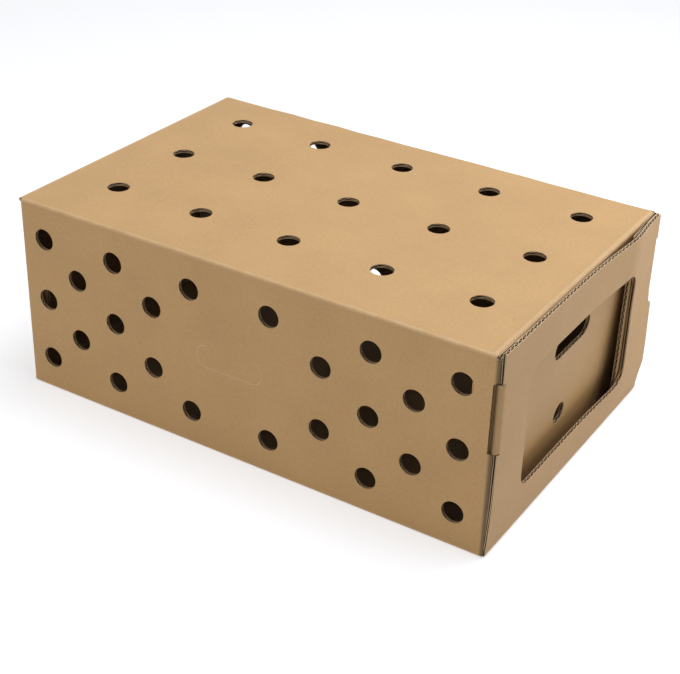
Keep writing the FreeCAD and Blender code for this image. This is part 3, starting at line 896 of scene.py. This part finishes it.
def push_in_line(width: float, height: float, line: float) -> list[Corner]:
    """Cut line of an unopened hand hole: both round ends and the bottom, not the top."""
    half = (width - height) / 2
    facets = 14

    def ends(radius: float) -> list[Corner]:
        """Left round end, then the right one, counter-clockwise from the top left."""
        turns = [math.pi * i / facets for i in range(facets + 1)]
        return [
            (middle + radius * math.cos(start + turn), radius * math.sin(start + turn))
            for middle, start in ((-half, RIGHT_ANGLE), (half, -RIGHT_ANGLE))
            for turn in turns
        ]

    return ends(height / 2) + ends(height / 2 - line)[::-1]


@dataclass
class TabbedFlap:
    """Upright end flap whose side tabs fold in; a window or other holes lighten it.

    The sheet's u is the height above the floor, and its v runs across the flap.  A tab's
    roll has one fold or two, and takes painted shade from the roll_ease share of its run on.
    """

    depth: float
    outside: float
    low: float
    high: float
    section: Section
    tab_low: float
    tab_high: float
    tab_relief: float = 1.5
    tab_bevel: float = 8.0
    roll_ease: float = 0.55
    roll_past: Corner = (2.0, 8.0)
    roll_folds: int = 1
    give_from: float = 10.0
    give_full: float = 3.5
    grid: float = 14.0

    SLACK = 0.1
    # end of the box that the flap closes: 1 at the right, -1 at the left
    WAY = 1.0

    @property
    def roll_start(self) -> float:
        """Half-width up to which the flap stays flat beside its tabs."""
        return self.section.start_of(1)

    def tab_edge(self, low_side: float, high_side: float) -> list[Corner]:
        """Corners of one tab with its reliefs, from the foot up, between the edge's half-widths."""
        low, high, root = self.tab_low, self.tab_high, self.roll_start
        tip, bevel, relief = self.section.length, self.tab_bevel, self.tab_relief
        return [
            (low - relief, low_side), (low - relief, root),
            (low, root), (low, tip - bevel), (low + bevel, tip),
            (high - bevel, tip), (high, tip - bevel), (high, root),
            (high + relief, root), (high + relief, high_side),
        ]

    def in_tab(self, flat: np.ndarray) -> np.ndarray:
        """Whether points lie between the two heights of the tabs."""
        return (flat[:, 0] > self.tab_low - self.SLACK) & (flat[:, 0] < self.tab_high + self.SLACK)

    def outline(self) -> list[Corner]:
        """Corners of the flap."""
        raise NotImplementedError

    def draw_holes(self, stencil: Stencil) -> None:
        """Draw the flap's holes."""
        raise NotImplementedError

    def draw_fluted(self, stencil: Stencil) -> None:
        """Draw the fluted field, which is the whole flap."""
        stencil.polygon(self.outline())

    def _sheet(self, name: str, more_v: Sequence[float]) -> Sheet:
        """Flat flap with the lines that its tabs and its curves need."""
        lines_v = [side * line for side in (1, -1) for line in self.section.fold_lines()]
        lines_v += spread(-self.roll_start, self.roll_start, self.grid) + list(more_v)
        lines_u = spread(self.low, self.high, self.grid)
        return Sheet(name, self.outline(), self.draw_holes, self.draw_fluted, lines_u, lines_v, lines_u)

    def tab_roll_shade(self, flat: np.ndarray) -> np.ndarray:
        """Painted shade at the roll of a tab, from 0 down to -1, deepest just past the roll's end."""
        across = np.abs(flat[:, 1])
        begin, end = self.section.start_of(1), self.section.start_of(self.roll_folds + 1)
        into = smooth_step(begin + (end - begin) * self.roll_ease, end, across)
        past = smooth_step(end + self.roll_past[0], end + self.roll_past[1], across)
        return np.where(self.in_tab(flat), past - into, 0.0)

    def stand(self, flat: np.ndarray) -> tuple[np.ndarray, np.ndarray]:
        """Distance from the middle and from the box's centre of each point, with the tabs folded in."""
        across, height = np.abs(flat[:, 1]), flat[:, 2]
        place = np.stack([across, self.outside + height], axis=1)
        tab = self.in_tab(flat) & (across > self.roll_start)
        place[tab] = self.section.place(across[tab], height[tab])
        return np.sign(flat[:, 1]) * place[:, 0], place[:, 1]

    def fold(self, flat: np.ndarray) -> np.ndarray:
        """Stand the flap up at its end of the box, fold its tabs in and let it give."""
        across, out = self.stand(flat)
        return self.settle(np.stack([self.WAY * out, -self.WAY * across, flat[:, 0]], axis=1))

    def settle(self, folded: np.ndarray) -> np.ndarray:
        """Let the outer layers give, but not the tabs inside the box."""
        out = self.WAY * folded[:, 0]
        free = smooth_step(self.outside - self.give_from, self.outside - self.give_full, out)
        folded[:, 0] += self.WAY * self.give(folded) * free
        return folded

    def give(self, folded: np.ndarray) -> np.ndarray:
        """How far the board gives outwards at each folded point."""
        raise NotImplementedError


@dataclass
class WindowFlap(TabbedFlap):
    """Right end flap, hinged on the floor, with a window and two tabs rolled into the corners."""

    window_margin: float = 64.5
    window_low: float = 45.0
    window_high: float = 187.0
    window_radius: float = 20.0
    front_edge: tuple[float, float, float, float] = (190.8, 188.6, 188.6, 189.4)
    back_edge: tuple[float, float, float, float] = (191.0, 190.0, 188.6, 188.0)
    corner_drop: float = 2.6
    tuck: float = 2.4
    tuck_until: float = 70.0
    # heights over which the floor fold's scuffed paper with painted highlight and shade fades out
    scuffed_and_highlit_until: Corner = (4.0, 16.0)

    TAB_HEIGHTS = (123.0, 200.0)
    TAB_REACH = 29.0
    TAB_SETBACK = 1.2
    TAB_GAP = 0.3
    TAB_LEAN = math.radians(45.0)
    WIDE_ROLL = 7.5
    TIGHT_ROLL = BOARD.fold_radius - 1.3
    RETURN_ROLL = 2.0

    @classmethod
    def fitted(cls, length: float, depth: float, outside: float, high: float) -> "WindowFlap":
        """Make the flap for a box.

        Args:
            length: length of the box over its walls.
            depth: depth of the box.
            outside: distance of the flap's outer face from the middle of the box.
            high: height of the flap's top edge.
        """
        lean, wide, tight, back = cls.TAB_LEAN, cls.WIDE_ROLL, cls.TIGHT_ROLL, cls.RETURN_ROLL
        side = depth / 2 - cls.TAB_SETBACK
        root = side - tight - (wide - tight) * math.sin(lean)
        lining = depth / 2 - BOARD.thickness - cls.TAB_GAP
        inner = side - tight * (1 - math.cos(lean))
        ramp = (inner - lining - back * (1 - math.cos(lean))) / math.cos(lean)
        sunk = wide * (1 - math.cos(lean)) + 2 * tight * math.cos(lean) + (ramp + back) * math.sin(lean)
        steps = (
            Straight(root),
            Fold(lean, wide),
            Fold(RIGHT_ANGLE, tight),
            Straight(ramp),
            Fold(lean, back, outward=True),
            Straight(outside - sunk - length / 2 + cls.TAB_REACH),
        )
        section = Section((0.0, outside), 0.0, steps)
        return cls(depth, outside, CREASE_RUN, high, section, *cls.TAB_HEIGHTS, roll_folds=2)

    def outline(self) -> list[Corner]:
        """Corners of the flap; its front side lies at plus v."""
        sides = [
            [(self.low, edge[0]), *self.tab_edge(edge[1], edge[2]), (self.high - drop, edge[3])]
            for edge, drop in ((self.front_edge, 0.0), (self.back_edge, self.corner_drop))
        ]
        return sides[0] + [(self.high, -BULGE.line)] + mirrored(sides[1], 1)

    def draw_holes(self, stencil: Stencil) -> None:
        """Draw the window."""
        half = self.depth / 2 - self.window_margin
        stencil.rectangle((self.window_low, -half), (self.window_high, half), self.window_radius)

    def sheet(self) -> Sheet:
        """Flat flap with extra lines where it is lifted."""
        near = np.linspace(-BULGE.soft, BULGE.soft, BULGE.SOFT_LINES)
        return self._sheet("right_flap", [-BULGE.line + step for step in near])

    def creases(self, flat: np.ndarray) -> np.ndarray:
        """Painted shade in the tabs' rolls, below 0, and nearness to the floor fold for scuffed paper with
        painted highlight and shade.
        """
        return self.tab_roll_shade(flat) + 1.0 - smooth_step(*self.scuffed_and_highlit_until, flat[:, 0])

    def give(self, folded: np.ndarray) -> np.ndarray:
        """Stand-off of the bulge, less what the pressed floor fold draws the foot in."""
        share = np.clip(1.0 - folded[:, 2] / self.tuck_until, 0.0, 1.0)
        return BULGE.at(folded[:, 1], folded[:, 2]) - self.tuck * share**1.5


@dataclass
class HungFlap(TabbedFlap):
    """Left end flap, hung from the top, with a hand hole, a round hole and two lock tabs."""

    side: float = 180.0
    taper: float = 26.0
    spring: float = 1.6
    # half-width of the band beside the top fold with scuffed paper and painted highlight and shade
    scuffed_and_highlit_from: float = 6.0

    WAY = -1.0
    TAB_HEIGHTS = (88.0, 128.0)
    TAB_REACH = 18.0

    @classmethod
    def fitted(cls, length: float, depth: float, outside: float, low: float, high: float) -> "HungFlap":
        """Make the flap for a box whose top lies at the height high."""
        radius = BOARD.fold_radius
        steps = (
            Straight(cls.side - radius),
            Fold(RIGHT_ANGLE, radius),
            Straight(outside - radius - length / 2 + cls.TAB_REACH),
        )
        section = Section((0.0, outside), 0.0, steps)
        return cls(depth, outside, low, high - CREASE_RUN, section, *cls.TAB_HEIGHTS)

    @property
    def neck(self) -> float:
        """Half-width at the top fold."""
        return self.depth / 2 - BOARD.fold_radius

    @property
    def head_side(self) -> float:
        """Half-width where the flap passes into its fold."""
        return self.side + (self.neck - self.side) * (1.0 - CREASE_RUN / self.taper)

    def outline(self) -> list[Corner]:
        """Corners of the flap."""
        half = [
            (self.low, self.side),
            *self.tab_edge(self.side, self.side),
            (self.high + CREASE_RUN - self.taper, self.side),
            (self.high, self.head_side),
        ]
        return half + mirrored(half, 1)

    def draw_holes(self, stencil: Stencil) -> None:
        """Draw the hand hole and the round hole."""
        draw_end_openings(stencil, lambda height: height, 0.0)

    def sheet(self) -> Sheet:
        """Flat flap."""
        return self._sheet("left_flap", [])

    def creases(self, flat: np.ndarray) -> np.ndarray:
        """Painted shade in the tabs' rolls, below 0, and nearness to the top fold for scuffed paper with
        painted highlight and shade.
        """
        worn_and_highlit = smooth_step(self.high - self.scuffed_and_highlit_from, self.high + self.scuffed_and_highlit_from, flat[:, 0])
        return self.tab_roll_shade(flat) + worn_and_highlit

    def give(self, folded: np.ndarray) -> np.ndarray:
        """How far the foot springs out."""
        return self.spring * np.clip(1.0 - folded[:, 2] / self.high, 0.0, 1.0) ** 2


@dataclass
class Crease:
    """Fold that joins a panel of the sleeve to an end flap.

    The right one rises from the floor and the left one falls from the top: the second
    is the first turned half round about Y.
    """

    name: str
    flap: TabbedFlap
    seam: float
    level: float
    panel_side: float
    flap_sides: Corner
    # reach of the fold's scuffed paper with painted highlight and of the painted shade beside it
    scuff_and_shade_reach: float = 8.0
    bends_from: Corner = (1.0, 3.0)
    bends_until: float = 2.0

    def __post_init__(self) -> None:
        """Lay out the fold from the panel's outer face to the flap's edge."""
        radius = BOARD.fold_radius
        run = self.flap.outside - radius - self.seam
        steps = (Straight(run), Fold(RIGHT_ANGLE, radius), Straight(CREASE_RUN - radius))
        self.section = Section((self.seam, 0.0), 0.0, steps)
        self.way = self.flap.WAY

    def outline(self) -> list[Corner]:
        """Corners of the strip, as wide as the panel and then as wide as the flap."""
        front, back = self.flap_sides
        side, end = self.panel_side, self.section.length
        middle = (self.section.start_of(1) + self.section.start_of(2)) / 2
        step = [(middle, -side), (0.0, -side), (0.0, side), (middle, side)]
        if min(front, back) > side:
            return [(end, -back), (middle, -back), *step, (middle, front), (end, front)]
        return [(end, -back), *step, (end, front)]

    def draw_fluted(self, stencil: Stencil) -> None:
        """Draw the fluted fields on both sides of the pressed fold."""
        fold, rise = self.section.start_of(1), self.section.start_of(2)
        side, far = self.panel_side, min(self.panel_side, *self.flap_sides)
        stencil.rectangle((0.0, -side), (fold, side))
        stencil.rectangle((rise, -far), (self.section.length, far))

    def sheet(self) -> Sheet:
        """Flat strip with the lines that its fold needs."""
        lines_v = spread(-self.panel_side, self.panel_side, self.flap.grid)
        folds = self.section.fold_lines()
        return Sheet(self.name, self.outline(), lambda stencil: None, self.draw_fluted, folds, lines_v, [])

    def creases(self, flat: np.ndarray) -> np.ndarray:
        """Nearness of each flat point to the fold."""
        return nearness(self.section.away_from_fold(1, flat[:, 0]), self.scuff_and_shade_reach)

    def fold(self, flat: np.ndarray) -> np.ndarray:
        """Bend the strip and bring it to its end of the box."""
        place = self.section.place(flat[:, 0], flat[:, 2])
        folded = np.stack([self.way * place[:, 0], -flat[:, 1], self.level - self.way * place[:, 1]], axis=1)
        return self.flap.settle(folded)

    def weight_run(self) -> tuple[Vector, Vector]:
        """Where the strip stops following the sleeve and where it follows the flap alone."""
        run, rise = self.bends_from
        start = Vector((self.way * (self.seam + run), 0.0, self.level + self.way * rise))
        far = self.flap.outside - self.bends_until
        end = Vector((self.way * far, 0.0, self.level + self.way * CREASE_RUN))
        return start * MM, end * MM


class NodeDesk:
    """Short way to add and join the nodes of one tree."""

    def __init__(self, tree: bpy.types.NodeTree) -> None:
        """Work on a tree."""
        self.tree = tree

    def add(
        self, kind: str, inputs: dict[str | int, object] | None = None, **settings: object
    ) -> bpy.types.Node:
        """Add a node.

        Args:
            kind: the node's type, without its ShaderNode prefix.
            inputs: a plain value or a socket for each input.
            settings: properties of the node.

        Returns:
            The new node.
        """
        node = self.tree.nodes.new(kind if kind.startswith("NodeGroup") else f"ShaderNode{kind}")
        for name, setting in settings.items():
            setattr(node, name, setting)
        self.join(node, inputs or {})
        return node

    def join(self, node: bpy.types.Node, inputs: dict[str | int, object]) -> None:
        """Give a node's inputs plain values, or link sockets to them."""
        for name, given in inputs.items():
            socket = node.inputs[name]
            if isinstance(given, bpy.types.NodeSocket):
                self.tree.links.new(given, socket)
            else:
                socket.default_value = given

    def math(self, operation: str, *terms: object) -> bpy.types.NodeSocket:
        """Add a math node and give its result."""
        return self.add("Math", dict(enumerate(terms)), operation=operation).outputs[0]

    def weigh(self, *terms: tuple[bpy.types.NodeSocket, float]) -> bpy.types.NodeSocket:
        """Add up sockets, each times its weight."""
        total, *parts = (self.math("MULTIPLY", socket, weight) for socket, weight in terms)
        for part in parts:
            total = self.math("ADD", total, part)
        return total

    def noise(
        self, place: bpy.types.NodeSocket, scale: float, detail: float, roughness: float = 0.5
    ) -> bpy.types.NodeSocket:
        """Add a noise texture and give its value."""
        inputs = {"Vector": place, "Scale": scale, "Detail": detail, "Roughness": roughness}
        return self.add("TexNoise", inputs).outputs[0]

    def bump(self, height: bpy.types.NodeSocket, strength: float, distance: float) -> bpy.types.NodeSocket:
        """Turn a height into a normal."""
        return self.add("Bump", {"Strength": strength, "Distance": distance, "Height": height}).outputs[0]

    def seen(self) -> bpy.types.NodeSocket:
        """Give 1 to rays from the camera, straight or mirrored, and 0 to those that light things."""
        rays = self.add("LightPath").outputs
        return self.math("MAXIMUM", rays["Is Camera Ray"], rays["Is Glossy Ray"])

    def mix(self, share: object, first: object, second: object) -> bpy.types.NodeSocket:
        """Mix two colours and give the result."""
        return self.add("Mix", {0: share, 6: first, 7: second}, data_type="RGBA").outputs[2]

    def remap(
        self, value: object, low: float, high: float, to_low: float = 0.0, to_high: float = 1.0
    ) -> bpy.types.NodeSocket:
        """Map a range onto another one, clamped."""
        inputs = {0: value, 1: low, 2: high, 3: to_low, 4: to_high}
        return self.add("MapRange", inputs, clamp=True).outputs[0]


def shader_group(
    name: str, inputs: Sequence[tuple[str, str]], outputs: Sequence[tuple[str, str]]
) -> tuple[NodeDesk, bpy.types.Node, bpy.types.Node]:
    """Start a shader node group with named sockets.

    Returns:
        Its desk, its input node and its output node.
    """
    tree = bpy.data.node_groups.new(name, "ShaderNodeTree")
    for way, sockets in (("INPUT", inputs), ("OUTPUT", outputs)):
        for label, kind in sockets:
            tree.interface.new_socket(label, in_out=way, socket_type=f"NodeSocket{kind}")
    desk = NodeDesk(tree)
    return desk, desk.add("NodeGroupInput"), desk.add("NodeGroupOutput")


def build_fibre_group() -> bpy.types.NodeTree:
    """Fibres, flecks and clouds of unbleached paper."""
    desk, given, result = shader_group(
        "paper_fibres",
        [("Place", "Vector")],
        [("Tone", "Float"), ("Fleck", "Float"), ("Height", "Float")],
    )
    place = given.outputs["Place"]
    drawn = desk.add("Mapping", {"Vector": place, "Scale": (0.35, 1.0, 1.0)}).outputs[0]
    fine = desk.noise(drawn, 1500.0, 3.0, 0.65)
    blotch = desk.noise(place, 330.0, 4.0, 0.6)
    cloud = desk.noise(place, 14.0, 3.0)
    tone = desk.remap(desk.weigh((fine, 0.3), (blotch, 0.4), (cloud, 0.3)), 0.34, 0.66)
    cells = desk.add("TexVoronoi", {"Vector": drawn, "Scale": 420.0, "Randomness": 1.0}).outputs[0]
    chance = desk.noise(place, 620.0, 0.0)
    fleck = desk.math("MULTIPLY", desk.remap(cells, 0.30, 0.12), desk.remap(chance, 0.60, 0.68))
    desk.join(result, {"Tone": tone, "Fleck": fleck, "Height": desk.weigh((fine, 0.6), (blotch, 0.4))})
    return desk.tree


def build_crease_group() -> bpy.types.NodeTree:
    """Along the folds, from the crease attribute: a ridge of scuffed paper with painted highlight, a band of
    painted shade beside it, and fine cracks.
    """
    desk, given, result = shader_group(
        "crease_wear_highlight_and_shade",
        [("Place", "Vector"), ("Crease", "Float")],
        [("RubbedAndHighlight", "Float"), ("Shade", "Float"), ("Height", "Float")],
    )
    crease = given.outputs["Crease"]
    broken = desk.noise(given.outputs["Place"], 60.0, 4.0, 0.6)
    ridge = desk.remap(crease, 0.72, 1.0)
    # the ridge is scuffed paper, lightened further as a painted highlight
    worn_and_highlit = desk.math("MULTIPLY", ridge, desk.remap(broken, 0.35, 0.62, 0.45, 1.0))
    # the band beside the ridge is painted shade
    band = desk.math("MULTIPLY", crease, desk.math("SUBTRACT", 1.0, ridge))
    shade = desk.math("MULTIPLY", band, desk.remap(broken, 0.3, 0.65, 0.4, 1.0))
    height = desk.math("MULTIPLY", crease, broken)
    desk.join(result, {"RubbedAndHighlight": worn_and_highlit, "Shade": shade, "Height": height})
    return desk.tree


def darker(colour: Colour, share: float) -> Colour:
    """Leave a share of a colour's light."""
    return tuple(share * part for part in colour[:3]) + (1.0,)


@dataclass(frozen=True)
class LinerFinish:
    """Smooth kraft paper of a liner, with painted highlight and painted shade along its folds."""

    name: str
    dark: Colour
    light: Colour
    # pale colour of the folds' ridges: scuffed paper with painted highlight
    rubbed_highlight: Colour
    flute_height: float
    # share of the dark tone left in the painted shade of hard-pressed folds and tab rolls
    painted_fold_shade: float = 0.32
    fleck_light: float = 0.55
    fleck_share: float = 0.35
    shade_share: float = 0.30
    rubbed_highlight_share: float = 0.45
    fibre_height: float = 0.16
    crack_height: float = 0.9

    def material(self, fibres: bpy.types.NodeTree, wear_and_painted_light: bpy.types.NodeTree) -> bpy.types.Material:
        """Make the material."""
        made, desk, shader = start_material(self.name)
        place = desk.add("TexCoord").outputs["Object"]
        near = desk.add("Attribute", attribute_name="crease").outputs["Fac"]
        paper = desk.add("Group", {"Place": place}, node_tree=fibres).outputs
        crease = desk.add("Group", {"Place": place, "Crease": near}, node_tree=wear_and_painted_light).outputs
        colour = desk.mix(paper["Tone"], self.dark, self.light)
        # flecks are the paper's own; the crease band takes painted shade, and the ridge takes scuffed paper
        # with painted highlight
        for mask, share, tint in (
            (paper["Fleck"], self.fleck_share, darker(self.dark, self.fleck_light)),
            (crease["Shade"], self.shade_share, self.dark),
            (crease["RubbedAndHighlight"], self.rubbed_highlight_share, self.rubbed_highlight),
        ):
            colour = desk.mix(desk.math("MULTIPLY", mask, share), colour, tint)
        # painted shade where the crease attribute falls below 0: the right end's upright corner folds and the
        # tabs' rolls
        colour = desk.mix(desk.remap(near, 0.0, -1.0), colour, darker(self.dark, self.painted_fold_shade))
        across = desk.add("SeparateXYZ", {0: desk.add("UVMap", uv_map="sheet").outputs[0]}).outputs[1]
        flutes = desk.math("SINE", desk.math("MULTIPLY", across, 2 * math.pi / (BOARD.flute_pitch * MM)))
        height = desk.weigh(
            (paper["Height"], self.fibre_height),
            (flutes, self.flute_height),
            (crease["Height"], self.crack_height),
        )
        desk.join(shader, {"Base Color": colour, "Normal": desk.bump(height, 0.6, 0.0006)})
        return made


@dataclass(frozen=True)
class RawFinish:
    """Torn or cut paper: the cut edges of the liners, and the web between them."""

    name: str
    dark: Colour
    light: Colour
    grain: float

    def material(self, fibres: bpy.types.NodeTree) -> bpy.types.Material:
        """Make the material."""
        made, desk, shader = start_material(self.name)
        place = desk.add("TexCoord").outputs["Object"]
        paper = desk.add("Group", {"Place": place}, node_tree=fibres).outputs
        fray = desk.noise(place, self.grain, 5.0)
        share = desk.weigh((desk.remap(fray, 0.32, 0.66), 0.7), (paper["Tone"], 0.3))
        colour = desk.mix(share, self.dark, self.light)
        desk.join(shader, {"Base Color": colour, "Normal": desk.bump(fray, 0.8, 0.0004)})
        return made


def start_material(name: str) -> tuple[bpy.types.Material, NodeDesk, bpy.types.Node]:
    """Make a dull material whose shader is ready to be joined up."""
    made = bpy.data.materials.new(name)
    made.use_nodes = True
    made.node_tree.nodes.clear()
    desk = NodeDesk(made.node_tree)
    shader = desk.add("BsdfPrincipled", {"Roughness": 0.58, "Specular IOR Level": 0.5})
    desk.add("OutputMaterial", {"Surface": shader.outputs[0]})
    return made, desk, shader


def board_finishes() -> list[bpy.types.Material]:
    """Make the four finishes of a board, in the order of Surface."""
    fibres, wear_and_painted_light = build_fibre_group(), build_crease_group()
    liners = (
        LinerFinish(
            "kraft_outer_liner",
            dark=(0.437, 0.258, 0.099, 1),
            light=(0.550, 0.330, 0.132, 1),
            rubbed_highlight=(0.66, 0.46, 0.25, 1),
            flute_height=0.02,
        ),
        # the inner liner's colours sit far below the outer kraft: painted shade for the inside of the box
        LinerFinish(
            "kraft_inner_liner",
            dark=(0.200, 0.115, 0.045, 1),
            light=(0.245, 0.142, 0.057, 1),
            rubbed_highlight=(0.32, 0.20, 0.09, 1),
            flute_height=0.08,
        ),
    )
    raw = (
        RawFinish("cut_paper_edge", (0.42, 0.27, 0.13, 1), (0.76, 0.56, 0.35, 1), 1300.0),
        # the web's colours sit far below the liners' kraft, as painted shade inside the flutes
        RawFinish("fluted_web", (0.07, 0.038, 0.016, 1), (0.14, 0.080, 0.034, 1), 900.0),
    )
    return [finish.material(fibres, wear_and_painted_light) for finish in liners] + [finish.material(fibres) for finish in raw]


@dataclass(frozen=True)
class Lamp:
    """Soft square lamp that points at the box."""

    name: str
    place: tuple[float, float, float]
    size: float
    watts: float
    tint: tuple[float, float, float] = (1.0, 1.0, 1.0)

    def switch_on(self, target: Vector) -> None:
        """Add the lamp."""
        light = bpy.data.lights.new(self.name, "AREA")
        light.size = self.size
        light.energy = self.watts
        light.color = self.tint
        lamp = add_object(self.name, light)
        lamp.location = self.place
        lamp.rotation_mode = "QUATERNION"
        lamp.rotation_quaternion = (target - lamp.location).to_track_quat("-Z", "Y")


@dataclass
class Studio:
    """Pale floor, soft light and the camera."""

    length: float
    depth: float
    height: float
    eye: tuple[float, float, float] = (1057.0, -1048.5, 907.4)
    azimuth: float = 30.22
    elevation: float = 29.64
    roll: float = 2.47
    lens: float = 77.342
    shift: tuple[float, float] = (-0.04412, -0.01471)
    floor_size: float = 14.0
    floor_drop: float = 0.2
    floor_albedo: float = 0.60
    floor_glow: float = 0.53
    sky: float = 0.27
    lamps: tuple[Lamp, ...] = (
        Lamp("key_lamp", (0.5, 0.35, 2.2), 1.6, 39.5, (0.95, 1.0, 1.13)),
        Lamp("end_lamp", (0.80, 0.80, 0.55), 0.5, 3.7, (1.0, 0.95, 0.86)),
        Lamp("front_lamp", (-0.6, -2.4, 1.2), 1.6, 21.5),
    )

    def set_up(self) -> None:
        """Build the whole studio."""
        self._floor()
        self._sky()
        for lamp in self.lamps:
            lamp.switch_on(Vector((0.0, 0.0, self.height / 2 * MM)))
        self._camera()
        bpy.context.scene.view_settings.view_transform = "Standard"

    def _floor(self) -> None:
        """Lay the floor just under the box."""
        bm = bmesh.new()
        bmesh.ops.create_grid(bm, x_segments=8, y_segments=8, size=self.floor_size / 2)
        floor = mesh_object("studio_floor", bm)
        floor.location.z = -self.floor_drop * MM
        made, desk, shader = start_material("studio_floor")
        inputs = {
            "Base Color": (self.floor_albedo,) * 3 + (1.0,),
            "Roughness": 0.95,
            "Emission Color": (1.0, 1.0, 1.0, 1.0),
            "Emission Strength": desk.math("MULTIPLY", desk.seen(), self.floor_glow),
        }
        desk.join(shader, inputs)
        floor.data.materials.append(made)

    def _sky(self) -> None:
        """Even soft light from all round, white where the camera sees it."""
        world = bpy.data.worlds.new("soft_sky")
        bpy.context.scene.world = world
        world.use_nodes = True
        world.node_tree.nodes.clear()
        desk = NodeDesk(world.node_tree)
        strength = desk.remap(desk.seen(), 0.0, 1.0, self.sky, 1.0)
        light = desk.add("Background", {"Color": (1.0, 1.0, 1.0, 1.0), "Strength": strength})
        desk.add("OutputWorld", {"Surface": light.outputs[0]})

    def _camera(self) -> None:
        """Place the camera; its eye is measured from the box's front left bottom corner."""
        camera = bpy.data.cameras.new("camera")
        camera.sensor_width = 36.0
        camera.lens = self.lens
        camera.shift_x, camera.shift_y = self.shift
        holder = add_object("camera", camera)
        corner = Vector((-self.length / 2, -self.depth / 2, 0.0))
        holder.location = (Vector(self.eye) + corner) * MM
        a, e = math.radians(self.azimuth), math.radians(self.elevation)
        forward = Vector((-math.sin(a) * math.cos(e), math.cos(a) * math.cos(e), -math.sin(e)))
        level = forward.to_track_quat("-Z", "Y")
        holder.rotation_mode = "QUATERNION"
        holder.rotation_quaternion = level @ Quaternion((0.0, 0.0, 1.0), math.radians(self.roll))
        bpy.context.scene.camera = holder


def main() -> None:
    """Set up the studio, then build the box piece by piece."""
    logging.basicConfig(level=logging.INFO, format="%(message)s")
    low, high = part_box("sleeve")
    length, depth, height = ((high - low) / MM)[:]
    Studio(length, depth, height).set_up()
    finishes = board_finishes()

    sleeve = Sleeve(length, depth, height)
    board = board_piece("sleeve_board", sleeve.sheet(), sleeve.fold, sleeve.creases, finishes)
    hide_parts("sleeve")
    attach(board, "sleeve")

    low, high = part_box("right_end_flap")
    window_flap = WindowFlap.fitted(length, depth, high.x / MM, high.z / MM)
    low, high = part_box("left_end_flap")
    hung_flap = HungFlap.fitted(length, depth, -low.x / MM, low.z / MM, high.z / MM)
    side = depth / 2 - BOARD.corner_radius
    window_sides = (window_flap.front_edge[0], window_flap.back_edge[0])
    ends = (
        ("right", window_flap, 0.0, window_sides),
        ("left", hung_flap, height, (hung_flap.head_side, hung_flap.head_side)),
    )
    for name, flap, level, flap_sides in ends:
        crease = Crease(f"{name}_crease", flap, sleeve.seam, level, side, flap_sides)
        board = board_piece(f"{name}_flap_board", flap.sheet(), flap.fold, flap.creases, finishes)
        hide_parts(f"{name}_end_flap")
        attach(board, f"{name}_flap")
        strip = board_piece(f"{name}_crease_board", crease.sheet(), crease.fold, crease.creases, finishes)
        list(crease.weight_run())
        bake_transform(strip)


if __name__ == "__main__":
    main()
